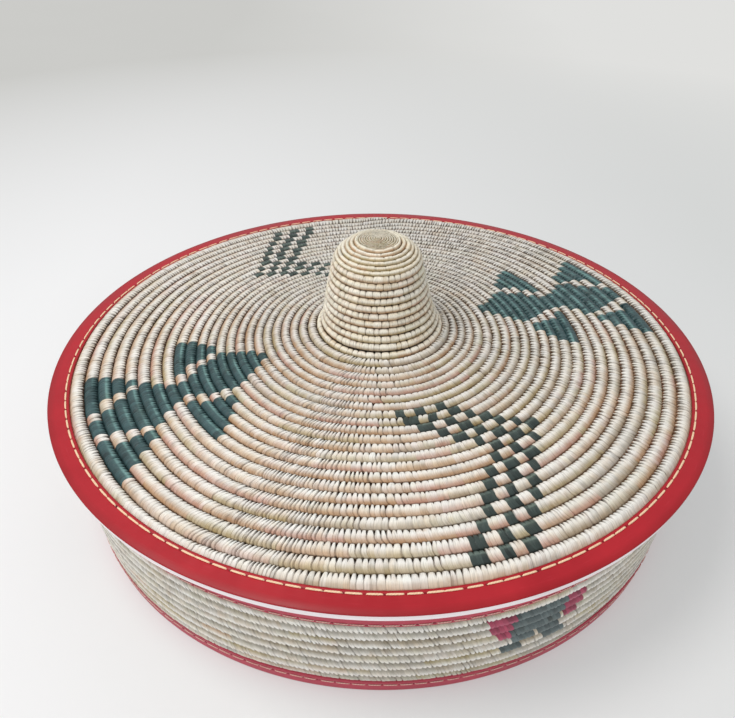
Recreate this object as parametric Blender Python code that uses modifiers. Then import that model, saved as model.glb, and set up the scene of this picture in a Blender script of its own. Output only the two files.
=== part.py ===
"""An Ethiopian mesob: a low round coiled basket with a shallow conical lid and a hollow knob.

Metres, +Z up. The origin is on the basket's axis, in the plane that it stands on.
The base is a coiled floor and wall bound in leather at the rim and at the foot.
The lid is a coiled cone with a leather band, and it lifts straight up off the base.
"""

import math

import bmesh
import bpy

OBJECT_NAME = "ethiopian_mesob"

# Fits, and the leather and thread that bind every edge
CLEARANCE = 0.0003
LEATHER_THICKNESS = 0.0015
LEATHER_ROUNDING = 0.0006
THREAD_DIAMETER = 0.0010

# Base: its outer face is a cone that opens upwards
BASE_FOOT_RADIUS = 0.2307
BASE_FLARE = 0.0106
BASE_HEIGHT = 0.0951
WALL_THICKNESS = 0.0085
WALL_ROWS = 8
FLOOR_THICKNESS = 0.0080
RIM_BINDING_DEPTH = 0.0175
RIM_THREAD_INSET = 0.0022
FOOT_BINDING_HEIGHT = 0.0124
FOOT_BINDING_TURN_IN = 0.0180
FOOT_THREAD_INSET = 0.0035

# Lid: a cone that rises towards the middle
LID_OVERHANG = 0.0087
LID_RISE_SHARE = 0.12
LID_BAND_WIDTH = 0.0155
LID_THREAD_INSET = 0.0026
LID_TONGUE_WIDTH = 0.0040
LID_EDGE_HEIGHT = 0.0057
LID_BOARD_INSET = 0.0015
LID_COIL_PROUD = 0.0020
LID_COIL_THICKNESS = 0.0085
LID_ROW_DEPTH = 0.0018
LID_FIRST_ROW_OVERLAP = 0.0010
LID_ROWS = 23
LID_ROW_TAPER_SHARE = 0.49
LID_ROW_TAPER_POWER = 2.27

# Ring under the lid that drops inside the base's rim
SEAT_CLEARANCE = 0.0015
SEAT_RING_THICKNESS = 0.0060
SEAT_ROW_HEIGHT = 0.0080
SEAT_ROW_DEPTH = 0.0010
SEAT_ROWS = 2
SEAT_LAND_MARGIN = 0.0020

# Knob: a bell-shaped coil round a hollow, closed by a small finely coiled cap
KNOB_ROOT_RADIUS = 0.0500
KNOB_RISE = 0.0735
KNOB_COIL_THICKNESS = 0.0065
KNOB_ROW_WIDTH = 0.0058
KNOB_ROW_DEPTH = 0.0011
KNOB_CAP_RADIUS = 0.0140
KNOB_CAP_THICKNESS = 0.0045
KNOB_CAP_ROWS = 4
KNOB_CAP_ROW_DEPTH = 0.0004

# The knob's outer face from its root to its top, as shares of KNOB_ROOT_RADIUS and KNOB_RISE
KNOB_PROFILE_SHARES = (
    (1.000, 0.000),
    (0.930, 0.051),
    (0.878, 0.133),
    (0.830, 0.231),
    (0.790, 0.361),
    (0.740, 0.517),
    (0.705, 0.626),
    (0.678, 0.721),
    (0.635, 0.806),
    (0.555, 0.872),
    (0.465, 0.922),
    (0.350, 0.963),
    (0.273, 0.983),
    (0.000, 1.000),
)

# Fineness of the round pieces
ROUND_STEPS = 40
KNOB_STEPS = 32
THREAD_SIDES = 6
MERGE_DISTANCE = 0.00001
SHARP_ANGLE = math.radians(50)

# Places that follow from the sizes above
BASE_RIM_RADIUS = BASE_FOOT_RADIUS + BASE_FLARE
LID_RADIUS = BASE_RIM_RADIUS + LID_OVERHANG
LID_REST_HEIGHT = BASE_HEIGHT + CLEARANCE
LID_BAND_INNER_RADIUS = LID_RADIUS - LID_BAND_WIDTH
BINDING_RECESS = LEATHER_THICKNESS + CLEARANCE
GROOVE_HALF_WIDTH = THREAD_DIAMETER / 2 + CLEARANCE
GROOVE_DEPTH = THREAD_DIAMETER / 2 + CLEARANCE

# Colours and roughness of the materials
CREAM = (0.68, 0.60, 0.45)
PALE_CREAM = (0.62, 0.60, 0.50)
HONEY_CREAM = (0.66, 0.55, 0.38)
RED = (0.55, 0.025, 0.045)
DUSTY_RED = (0.48, 0.06, 0.10)
BOARD_WHITE = (0.82, 0.76, 0.76)
THREAD_CREAM = (0.80, 0.66, 0.42)
STRAW_ROUGHNESS = 0.75
LEATHER_ROUGHNESS = 0.42
BOARD_ROUGHNESS = 0.50
THREAD_ROUGHNESS = 0.65


def clear_scene():
    for obj in list(bpy.data.objects):
        bpy.data.objects.remove(obj, do_unlink=True)


def part_collection():
    collection = bpy.data.collections.new(OBJECT_NAME)
    bpy.context.scene.collection.children.link(collection)
    return collection


def make_material(name, colour, roughness):
    """A plain Principled material with the piece's colour and roughness."""
    material = bpy.data.materials.new(name)
    material.use_nodes = True
    shader = material.node_tree.nodes["Principled BSDF"]
    shader.inputs["Base Color"].default_value = (*colour, 1.0)
    shader.inputs["Roughness"].default_value = roughness
    shader.inputs["Metallic"].default_value = 0.0
    material.diffuse_color = (*colour, 1.0)
    return material


def straw_material(name, colour):
    return make_material(name, colour, STRAW_ROUGHNESS)


def leather_material(name, colour):
    return make_material(name, colour, LEATHER_ROUGHNESS)


def board_material(name):
    return make_material(name, BOARD_WHITE, BOARD_ROUGHNESS)


def thread_material(name):
    return make_material(name, THREAD_CREAM, THREAD_ROUGHNESS)


def turned(name, profile, material, holder, closed=True, steps=ROUND_STEPS):
    """Turns a profile of (radius, height) points round the Z axis.

    The profile runs outwards along the top, down the outer side and back in.
    A closed profile makes a ring, and an open one starts and ends on the axis.
    """
    outline = bpy.data.meshes.new(name)
    shape = bmesh.new()
    corners = [shape.verts.new((radius, 0.0, height)) for radius, height in profile]
    for first, second in zip(corners, corners[1:]):
        shape.edges.new((first, second))
    if closed:
        shape.edges.new((corners[-1], corners[0]))
    shape.to_mesh(outline)
    shape.free()
    piece = bpy.data.objects.new(name, outline)
    holder.users_collection[0].objects.link(piece)
    screw = piece.modifiers.new("Turn", "SCREW")
    screw.axis = "Z"
    screw.angle = math.tau
    screw.steps = steps
    screw.render_steps = steps
    screw.use_merge_vertices = True
    screw.merge_threshold = MERGE_DISTANCE
    bpy.context.view_layer.update()
    solid = bpy.data.meshes.new_from_object(piece.evaluated_get(bpy.context.evaluated_depsgraph_get()))
    solid.name = name
    solid.shade_smooth()
    solid.set_sharp_from_angle(angle=SHARP_ANGLE)
    solid.materials.clear()
    solid.materials.append(material)
    piece.modifiers.clear()
    piece.data = solid
    bpy.data.meshes.remove(outline)
    piece.parent = holder
    piece.matrix_parent_inverse = holder.matrix_world.inverted()
    return piece


def make_holder(name, height, collection):
    """An empty on the axis that carries the pieces of one body."""
    holder = bpy.data.objects.new(name, None)
    holder.location = (0.0, 0.0, height)
    collection.objects.link(holder)
    bpy.context.view_layer.update()
    return holder


def base_outer_radius(height):
    return BASE_FOOT_RADIUS + (BASE_RIM_RADIUS - BASE_FOOT_RADIUS) * height / BASE_HEIGHT


def base_inner_radius(height):
    return base_outer_radius(height) - WALL_THICKNESS


def lid_leather_height(radius):
    """Height of the lid's cone, which the top face of the leather band lies in."""
    return LID_REST_HEIGHT + LID_EDGE_HEIGHT + LID_RISE_SHARE * (LID_RADIUS - radius)


def lid_crest_height(radius):
    """Height of the crests of the lid's coil."""
    return lid_leather_height(radius) + LID_COIL_PROUD


def under_leather_height(radius):
    """Height of what lies under the lid's leather band."""
    return lid_leather_height(radius) - LEATHER_THICKNESS - CLEARANCE


def side_groove(height):
    """A groove for thread in the base's outer face, from its top to its bottom."""
    above = height + GROOVE_HALF_WIDTH
    below = height - GROOVE_HALF_WIDTH
    return [
        (base_outer_radius(above), above),
        (base_outer_radius(above) - GROOVE_DEPTH, above),
        (base_outer_radius(below) - GROOVE_DEPTH, below),
        (base_outer_radius(below), below),
    ]


def thread_ring(name, radius, height, holder):
    """The sewing thread's line, half sunk in its groove."""
    turn = math.tau / THREAD_SIDES
    profile = [
        (
            radius + THREAD_DIAMETER / 2 * math.sin(side * turn),
            height + THREAD_DIAMETER / 2 * math.cos(side * turn),
        )
        for side in range(THREAD_SIDES)
    ]
    return turned(name, profile, thread_material(name), holder)


def make_base_floor(holder):
    bottom = BINDING_RECESS
    top = bottom + FLOOR_THICKNESS
    radius = base_inner_radius(bottom) - CLEARANCE
    profile = [(0.0, top), (radius, top), (radius, bottom), (0.0, bottom)]
    material = straw_material("base_floor_straw", PALE_CREAM)
    turned("base_floor_coil", profile, material, holder, closed=False)


def make_base_wall(holder):
    """The wall, thinned under both bindings, with a ridge for each row between them."""
    top = BASE_HEIGHT - BINDING_RECESS
    rows_top = BASE_HEIGHT - RIM_BINDING_DEPTH - CLEARANCE
    rows_bottom = FOOT_BINDING_HEIGHT + CLEARANCE
    bottom = BINDING_RECESS
    row_height = (rows_top - rows_bottom) / WALL_ROWS
    profile = [
        (base_inner_radius(top) + BINDING_RECESS, top),
        (base_outer_radius(top) - BINDING_RECESS, top),
        (base_outer_radius(rows_top) - BINDING_RECESS, rows_top),
    ]
    for row in range(WALL_ROWS):
        crest = rows_top - (row + 0.5) * row_height
        valley = rows_top - (row + 1) * row_height
        profile.append((base_outer_radius(crest), crest))
        profile.append((base_outer_radius(valley) - BINDING_RECESS, valley))
    profile += [
        (base_outer_radius(bottom) - BINDING_RECESS, bottom),
        (base_inner_radius(bottom), bottom),
        (base_inner_radius(rows_top), rows_top),
        (base_inner_radius(rows_top) + BINDING_RECESS, rows_top),
    ]
    material = straw_material("base_wall_straw", PALE_CREAM)
    turned("base_wall_coil", profile, material, holder)


def make_base_rim_binding(holder):
    """A strip folded over the wall's top edge, with a leg outside and a leg inside."""
    top = BASE_HEIGHT
    fold = top - LEATHER_THICKNESS
    shoulder = top - LEATHER_ROUNDING
    edge = top - RIM_BINDING_DEPTH
    profile = [
        (base_inner_radius(shoulder), shoulder),
        (base_inner_radius(top) + LEATHER_ROUNDING, top),
        (base_outer_radius(top) - LEATHER_ROUNDING, top),
        (base_outer_radius(shoulder), shoulder),
        *side_groove(edge + RIM_THREAD_INSET),
        (base_outer_radius(edge), edge),
        (base_outer_radius(edge) - LEATHER_THICKNESS, edge),
        (base_outer_radius(fold) - LEATHER_THICKNESS, fold),
        (base_inner_radius(fold) + LEATHER_THICKNESS, fold),
        (base_inner_radius(edge) + LEATHER_THICKNESS, edge),
        (base_inner_radius(edge), edge),
    ]
    material = leather_material("base_rim_leather", DUSTY_RED)
    turned("base_rim_binding", profile, material, holder)


def make_base_rim_thread(holder):
    height = BASE_HEIGHT - RIM_BINDING_DEPTH + RIM_THREAD_INSET
    thread_ring("base_rim_thread", base_outer_radius(height), height, holder)


def make_base_foot_binding(holder):
    """A strip round the foot, turned in under the wall and the floor's edge."""
    top = FOOT_BINDING_HEIGHT
    fold = LEATHER_THICKNESS
    inner = BASE_FOOT_RADIUS - FOOT_BINDING_TURN_IN
    profile = [
        (inner, fold),
        (base_outer_radius(fold) - LEATHER_THICKNESS, fold),
        (base_outer_radius(top) - LEATHER_THICKNESS, top),
        (base_outer_radius(top), top),
        *side_groove(top - FOOT_THREAD_INSET),
        (base_outer_radius(LEATHER_ROUNDING), LEATHER_ROUNDING),
        (BASE_FOOT_RADIUS - LEATHER_ROUNDING, 0.0),
        (inner, 0.0),
    ]
    material = leather_material("base_foot_leather", DUSTY_RED)
    turned("base_foot_binding", profile, material, holder)


def make_base_foot_thread(holder):
    height = FOOT_BINDING_HEIGHT - FOOT_THREAD_INSET
    thread_ring("base_foot_thread", base_outer_radius(height), height, holder)


def lid_row_edges():
    """Radii of the lid's row edges, from the outermost inwards. The rows get narrower inwards."""
    weights = []
    for row in range(LID_ROWS):
        share = row / (LID_ROWS - 1)
        weights.append(1 + LID_ROW_TAPER_SHARE * (1 - share) ** LID_ROW_TAPER_POWER)
    radius = LID_BAND_INNER_RADIUS + LID_FIRST_ROW_OVERLAP
    unit = (radius - KNOB_ROOT_RADIUS) / sum(weights)
    edges = [radius]
    for weight in weights:
        radius -= weight * unit
        edges.append(radius)
    return edges


def lid_row_points():
    """The coil's top face from the knob's root outwards, cut short at the leather band."""
    limit = LID_BAND_INNER_RADIUS - CLEARANCE
    edges = lid_row_edges()[::-1]
    points = []
    for inner, outer in zip(edges, edges[1:]):
        crest = (inner + outer) / 2
        points.append((inner, lid_crest_height(inner) - LID_ROW_DEPTH))
        points.append((crest, lid_crest_height(crest)))
    fall = (limit - crest) / (outer - crest)
    points.append((limit, lid_crest_height(limit) - LID_ROW_DEPTH * fall))
    return points


def seat_ring_outer_radius(height):
    return base_inner_radius(height) - SEAT_CLEARANCE


def make_lid_disc(holder):
    """The shallow cone, with a flat land under its edge and a tongue under the leather band."""
    tongue_inner = LID_BAND_INNER_RADIUS - CLEARANCE
    tongue_outer = LID_BAND_INNER_RADIUS + LID_TONGUE_WIDTH
    land_inner = seat_ring_outer_radius(BASE_HEIGHT) - SEAT_RING_THICKNESS - SEAT_LAND_MARGIN
    bevel_inner = land_inner - LID_COIL_THICKNESS
    profile = lid_row_points()
    profile += [
        (tongue_inner, under_leather_height(tongue_inner)),
        (tongue_outer, under_leather_height(tongue_outer)),
        (tongue_outer, LID_REST_HEIGHT),
        (land_inner, LID_REST_HEIGHT),
        (bevel_inner, lid_crest_height(bevel_inner) - LID_COIL_THICKNESS),
        (KNOB_ROOT_RADIUS, lid_crest_height(KNOB_ROOT_RADIUS) - KNOB_COIL_THICKNESS),
    ]
    material = straw_material("lid_disc_straw", CREAM)
    turned("lid_disc_coil", profile, material, holder)


def make_lid_board(holder):
    """The stiff white ring under the leather band."""
    inner = LID_BAND_INNER_RADIUS + LID_TONGUE_WIDTH + CLEARANCE
    outer = LID_RADIUS - LID_BOARD_INSET
    profile = [
        (inner, under_leather_height(inner)),
        (outer, under_leather_height(outer)),
        (outer, LID_REST_HEIGHT),
        (inner, LID_REST_HEIGHT),
    ]
    turned("lid_rim_board", profile, board_material("lid_rim_board_white"), holder)


def make_lid_leather(holder):
    """The red band, with a groove near its inner edge for the thread."""
    groove = LID_BAND_INNER_RADIUS + LID_THREAD_INSET
    near = groove - GROOVE_HALF_WIDTH
    far = groove + GROOVE_HALF_WIDTH
    inner = LID_BAND_INNER_RADIUS
    shoulder = LID_RADIUS - LEATHER_ROUNDING
    profile = [
        (inner, lid_leather_height(inner) - LEATHER_ROUNDING),
        (inner + LEATHER_ROUNDING, lid_leather_height(inner + LEATHER_ROUNDING)),
        (near, lid_leather_height(near)),
        (near, lid_leather_height(near) - GROOVE_DEPTH),
        (far, lid_leather_height(far) - GROOVE_DEPTH),
        (far, lid_leather_height(far)),
        (shoulder, lid_leather_height(shoulder)),
        (LID_RADIUS, lid_leather_height(LID_RADIUS) - LEATHER_ROUNDING),
        (LID_RADIUS, lid_leather_height(LID_RADIUS) - LEATHER_THICKNESS),
        (inner, lid_leather_height(inner) - LEATHER_THICKNESS),
    ]
    turned("lid_rim_leather", profile, leather_material("lid_rim_leather_red", RED), holder)


def make_lid_thread(holder):
    radius = LID_BAND_INNER_RADIUS + LID_THREAD_INSET
    thread_ring("lid_rim_thread", radius, lid_leather_height(radius), holder)


def make_seat_ring(holder):
    """A short coiled ring that keeps the lid centred. It follows the slope of the base's wall."""
    top = LID_REST_HEIGHT - CLEARANCE
    profile = [
        (seat_ring_outer_radius(top) - SEAT_RING_THICKNESS, top),
        (seat_ring_outer_radius(top) - SEAT_ROW_DEPTH, top),
    ]
    for row in range(SEAT_ROWS):
        crest = top - (row + 0.5) * SEAT_ROW_HEIGHT
        valley = top - (row + 1) * SEAT_ROW_HEIGHT
        profile.append((seat_ring_outer_radius(crest), crest))
        profile.append((seat_ring_outer_radius(valley) - SEAT_ROW_DEPTH, valley))
    profile.append((seat_ring_outer_radius(valley) - SEAT_RING_THICKNESS, valley))
    turned("lid_seat_ring", profile, straw_material("lid_seat_straw", CREAM), holder)


def knob_curve():
    """The knob's outer face as points from its root to its top."""
    start = lid_crest_height(KNOB_ROOT_RADIUS)
    return [(share * KNOB_ROOT_RADIUS, start + rise * KNOB_RISE) for share, rise in KNOB_PROFILE_SHARES]


def curve_lengths(curve):
    """The distance along the curve to each of its points."""
    lengths = [0.0]
    for (radius, height), (next_radius, next_height) in zip(curve, curve[1:]):
        lengths.append(lengths[-1] + math.hypot(next_radius - radius, next_height - height))
    return lengths


def point_at(curve, distance, depth):
    """The point this far along the curve, sunk to a depth under the outer face."""
    lengths = curve_lengths(curve)
    piece = 0
    while piece < len(curve) - 2 and lengths[piece + 1] < distance:
        piece += 1
    span = lengths[piece + 1] - lengths[piece]
    share = (distance - lengths[piece]) / span
    along_radius = (curve[piece + 1][0] - curve[piece][0]) / span
    along_height = (curve[piece + 1][1] - curve[piece][1]) / span
    return (
        curve[piece][0] + along_radius * span * share - depth * along_height,
        curve[piece][1] + along_height * span * share + depth * along_radius,
    )


def height_on_curve(curve, radius):
    """The curve's height where it passes this radius."""
    for (outer, low), (inner, high) in zip(curve, curve[1:]):
        if inner <= radius <= outer:
            return low + (high - low) * (outer - radius) / (outer - inner)
    return curve[-1][1]


def make_knob(holder):
    """The bell: a ridge for each row outside, smooth inside, open at the bottom and under the cap."""
    curve = knob_curve()
    root = KNOB_ROOT_RADIUS - CLEARANCE
    hole = KNOB_CAP_RADIUS + CLEARANCE
    hole_height = height_on_curve(curve, hole)
    outer_curve = [(root, height_on_curve(curve, root))]
    outer_curve += [point for point in curve if hole < point[0] < root]
    outer_curve.append((hole, hole_height))
    length = curve_lengths(outer_curve)[-1]
    rows = max(1, round(length / KNOB_ROW_WIDTH))
    row_length = length / rows
    profile = [(hole, hole_height - KNOB_ROW_DEPTH)]
    for row in reversed(range(rows)):
        profile.append(point_at(outer_curve, (row + 0.5) * row_length, 0.0))
        if row:
            profile.append(point_at(outer_curve, row * row_length, KNOB_ROW_DEPTH))
    profile.append((root, outer_curve[0][1] - KNOB_ROW_DEPTH))
    profile.append((root, outer_curve[0][1] - KNOB_COIL_THICKNESS))
    lengths = curve_lengths(outer_curve)
    for distance in lengths[1:-1]:
        profile.append(point_at(outer_curve, distance, KNOB_COIL_THICKNESS))
    profile.append((hole, hole_height - KNOB_COIL_THICKNESS))
    material = straw_material("lid_knob_straw", HONEY_CREAM)
    turned("lid_knob_coil", profile, material, holder, steps=KNOB_STEPS)


def make_knob_cap(holder):
    """The finely coiled start of the knob, set in the hole at its top."""
    curve = knob_curve()
    edge_height = height_on_curve(curve, KNOB_CAP_RADIUS)
    row_width = KNOB_CAP_RADIUS / KNOB_CAP_ROWS
    profile = [(0.0, curve[-1][1])]
    for row in range(KNOB_CAP_ROWS):
        crest = (row + 0.5) * row_width
        valley = (row + 1) * row_width
        profile.append((crest, height_on_curve(curve, crest)))
        profile.append((valley, height_on_curve(curve, valley) - KNOB_CAP_ROW_DEPTH))
    profile += [
        (KNOB_CAP_RADIUS, edge_height - KNOB_CAP_THICKNESS),
        (0.0, curve[-1][1] - KNOB_CAP_THICKNESS),
    ]
    material = straw_material("lid_knob_cap_straw", PALE_CREAM)
    turned("lid_knob_cap", profile, material, holder, closed=False, steps=KNOB_STEPS)


def main():
    clear_scene()
    collection = part_collection()
    base = make_holder("base", 0.0, collection)
    make_base_floor(base)
    make_base_wall(base)
    make_base_rim_binding(base)
    make_base_rim_thread(base)
    make_base_foot_binding(base)
    make_base_foot_thread(base)
    lid = make_holder("lid", LID_REST_HEIGHT, collection)
    make_lid_disc(lid)
    make_lid_board(lid)
    make_lid_leather(lid)
    make_lid_thread(lid)
    make_seat_ring(lid)
    make_knob(lid)
    make_knob_cap(lid)


main()
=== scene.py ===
"""The looks of the coiled basket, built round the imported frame.

Metres, +Z up. An azimuth is in degrees, 0 towards -Y, where the photograph looks from, and grows towards +X.
A row is one turn of a coil, and a wrap is one pass of straw round it.
"""

import math

import bpy
import numpy as np
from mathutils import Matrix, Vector


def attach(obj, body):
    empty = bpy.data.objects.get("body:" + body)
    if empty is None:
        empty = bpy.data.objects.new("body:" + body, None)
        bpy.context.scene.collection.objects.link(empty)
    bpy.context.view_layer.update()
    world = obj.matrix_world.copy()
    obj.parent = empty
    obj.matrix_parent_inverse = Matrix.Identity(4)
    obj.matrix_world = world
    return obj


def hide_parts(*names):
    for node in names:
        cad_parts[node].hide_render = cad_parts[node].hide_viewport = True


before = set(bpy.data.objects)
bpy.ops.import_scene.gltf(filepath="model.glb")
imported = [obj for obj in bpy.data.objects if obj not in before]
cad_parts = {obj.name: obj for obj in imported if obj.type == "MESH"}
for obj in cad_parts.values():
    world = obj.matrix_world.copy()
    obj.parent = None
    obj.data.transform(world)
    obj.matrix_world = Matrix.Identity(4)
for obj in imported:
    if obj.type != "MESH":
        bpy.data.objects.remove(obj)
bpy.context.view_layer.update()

MM = 0.001
BAKE_MAP = "OFBake"
STRAW_MAP = "Straw"
TINT = "Tint"


def smooth_step(value, low, high):
    share = np.clip((value - low) / (high - low), 0, 1)
    return share * share * (3 - 2 * share)


def linear(red, green, blue):
    """A colour written as it looks on a screen, 0 to 255, as the shader wants it."""
    shares = np.array((red, green, blue)) / 255
    return np.where(shares <= 0.04045, shares / 12.92, ((shares + 0.055) / 1.055) ** 2.4)


def opaque(red, green, blue):
    """The same colour with full alpha, as a node's socket takes it."""
    return (*linear(red, green, blue), 1.0)


def fading(distance, reach):
    """1 at no distance, falling smoothly to almost nothing at twice the reach."""
    return np.exp(-((distance / reach) ** 2))


def running_total(gaps):
    """The sums so far, from 0 on."""
    return np.concatenate([[0], np.cumsum(gaps)])


def node_profile(name):
    """Radius and height of each corner of a CAD node."""
    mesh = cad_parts[name].data
    corners = np.empty(len(mesh.vertices) * 3)
    mesh.vertices.foreach_get("co", corners)
    corners = corners.reshape(-1, 3)
    return np.hypot(corners[:, 0], corners[:, 1]), corners[:, 2]


# Places read from the frame
LID_SLOPE = 0.12
band_r, band_z = node_profile("lid_rim_leather")
disc_r, disc_z = node_profile("lid_disc_coil")
board_r = node_profile("lid_rim_board")[0]
seat_r, seat_z = node_profile("lid_seat_ring")
rim_r, rim_z = node_profile("base_rim_binding")
foot_r, foot_z = node_profile("base_foot_binding")
floor_r, floor_z = node_profile("base_floor_coil")
cap_r, cap_z = node_profile("lid_knob_cap")

LID_RADIUS = band_r.max()
BAND_INNER = band_r.min()
BAND_PLANE = (band_z + LID_SLOPE * band_r).max()
CREST_PLANE = (disc_z + LID_SLOPE * disc_r).max()
LID_REST = disc_z.min()
KNOB_ROOT = disc_r.min()
BASE_SLOPE = (rim_r.max() - foot_r.max()) / (rim_z[rim_r.argmax()] - foot_z.max())
BASE_TOP = rim_z.max()
RIM_EDGE = rim_z.min()
FOOT_EDGE = foot_z.max()

CLEARANCE = 0.3 * MM
LEATHER = 1.5 * MM
RECESS = LEATHER + CLEARANCE


def band_height(radius):
    """The top face of the lid's red band."""
    return BAND_PLANE - LID_SLOPE * radius


def crest_height(radius):
    """The crests of the lid's rows."""
    return CREST_PLANE - LID_SLOPE * radius


def base_outer(height):
    return foot_r.max() + BASE_SLOPE * (height - FOOT_EDGE)


WALL = 8.5 * MM


def base_inner(height):
    return base_outer(height) - WALL


# Meshes


def add_mesh(name, grid, closed_along, lengths, widths, tints=None, sharp_rings=None):
    """A closed tube from a grid of points, ring by ring. The rings close on themselves.

    lengths has one more entry than there are steps along, and widths than there are steps around. They make
    the two maps: one in metres for the grain, and one that lays the tube out in strips for baking.
    """
    rings, sides = grid.shape[:2]
    steps = rings if closed_along else rings - 1
    along = np.arange(steps)[:, None]
    around = np.arange(sides)[None, :]
    next_along = (along + 1) % rings
    next_around = (around + 1) % sides
    corners = np.stack(
        np.broadcast_arrays(
            along * sides + around,
            next_along * sides + around,
            next_along * sides + next_around,
            along * sides + next_around,
        ),
        axis=-1,
    ).reshape(-1, 4)
    points = grid.reshape(-1, 3)
    flat = corners.ravel()
    a, b, c, d = (points[corners[:, corner]] for corner in range(4))
    flip = (np.cross(b - a, c - a) * a).sum() + (np.cross(c - a, d - a) * a).sum() < 0

    u, v = tube_map(steps, sides, lengths, widths, in_strips=False)
    bake_u, bake_v = tube_map(steps, sides, lengths, widths, in_strips=True)
    caps = []
    if not closed_along:
        first = np.arange(sides)
        caps = [first, first[::-1] + (rings - 1) * sides]
    if flip:
        order = np.arange(corners.size).reshape(-1, 4)[:, ::-1].ravel()
        flat = flat[order]
        u, v, bake_u, bake_v = (values[order] for values in (u, v, bake_u, bake_v))
        caps = [cap[::-1] for cap in caps]
    loops = np.concatenate([flat, *caps]) if caps else flat
    starts = np.arange(len(corners)) * 4
    if caps:
        starts = np.append(starts, [flat.size, flat.size + sides])
    mesh = bpy.data.meshes.new(name)
    mesh.vertices.add(len(points))
    mesh.vertices.foreach_set("co", points.ravel().astype(np.float32))
    mesh.loops.add(len(loops))
    mesh.loops.foreach_set("vertex_index", loops.astype(np.int32))
    mesh.polygons.add(len(starts))
    mesh.polygons.foreach_set("loop_start", starts.astype(np.int32))
    mesh.update(calc_edges=True)
    mesh.shade_smooth()
    for map_name, map_u, map_v in ((STRAW_MAP, u, v), (BAKE_MAP, bake_u, bake_v)):
        layer = mesh.uv_layers.new(name=map_name)
        pairs = np.zeros((len(loops), 2))
        pairs[: flat.size, 0] = map_u
        pairs[: flat.size, 1] = map_v
        if caps and map_name == BAKE_MAP:
            pairs[flat.size :] = cap_map(sides)
        layer.data.foreach_set("uv", pairs.ravel().astype(np.float32))
    if tints is not None:
        colours = np.ones((len(points), 4))
        colours[:, :3] = tints.reshape(-1, 3)
        layer = mesh.color_attributes.new(TINT, "FLOAT_COLOR", "POINT")
        layer.data.foreach_set("color", colours.ravel().astype(np.float32))
    if sharp_rings is not None:
        ends = np.empty(len(mesh.edges) * 2, np.int32)
        mesh.edges.foreach_get("vertices", ends)
        ring_ends = ends.reshape(-1, 2) // sides
        sharp = (ring_ends[:, 0] == ring_ends[:, 1]) & sharp_rings[ring_ends[:, 0]]
        mesh.attributes.new("sharp_edge", "BOOLEAN", "EDGE").data.foreach_set("value", sharp)
    mesh.validate()
    piece = bpy.data.objects.new(name, mesh)
    bpy.context.scene.collection.objects.link(piece)
    return piece


MAP_MARGIN = 0.04
CAP_SHARE = 0.004


def cap_map(sides):
    """The two end faces, side by side in a corner of the baking map."""
    turn = np.arange(sides) * math.tau / sides
    circle = np.stack([np.cos(turn), np.sin(turn)], axis=-1) * CAP_SHARE / 2.5
    return np.concatenate([circle + CAP_SHARE * 0.6, circle + (CAP_SHARE * 1.8, CAP_SHARE * 0.6)])


def tube_map(steps, sides, lengths, widths, in_strips):
    """The corners' places on the tube, in metres, or in strips that fill the unit square."""
    start = np.repeat(lengths[:-1], sides)
    end = np.repeat(lengths[1:], sides)
    near = np.tile(widths[:-1], steps)
    far = np.tile(widths[1:], steps)
    if in_strips:
        base = CAP_SHARE * 1.4
        total = lengths[-1] - lengths[0]
        strips = max(1, round(math.sqrt(total / widths[-1])))
        strip = np.minimum(((start + end) / 2 - lengths[0]) // (total / strips), strips - 1)
        room = total / strips * (1 + MAP_MARGIN)
        start, end = ((place - lengths[0] - strip * total / strips) / room for place in (start, end))
        start, end = (MAP_MARGIN / 2 / (1 + MAP_MARGIN) + place for place in (start, end))
        inside = 1 - 2 * MAP_MARGIN
        near, far = ((strip + MAP_MARGIN + inside * place / widths[-1]) / strips for place in (near, far))
        near, far = (base + (1 - base) * place for place in (near, far))
    u = np.stack([start, end, end, start], axis=-1).ravel()
    v = np.stack([near, near, far, far], axis=-1).ravel()
    return u, v


def round_points(radius, height, azimuth):
    """Points from radii, heights and azimuths in radians."""
    return np.stack([radius * np.sin(azimuth), -radius * np.cos(azimuth), height + 0 * azimuth], axis=-1)


def outline_widths(outline):
    """How far along a closed outline each of its points lies, and the first one again at the end."""
    gaps = np.linalg.norm(np.diff(np.vstack([outline, outline[:1]]), axis=0), axis=1)
    return running_total(gaps)


def finish_piece(piece, material, body, slot, *nodes):
    piece.data.materials.append(material)
    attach(piece, body)
    if nodes:
        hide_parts(*nodes)
    return piece


# Materials

# Most of a noise's values lie between these
NOISE_LOW, NOISE_HIGH = 0.3, 0.7


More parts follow.
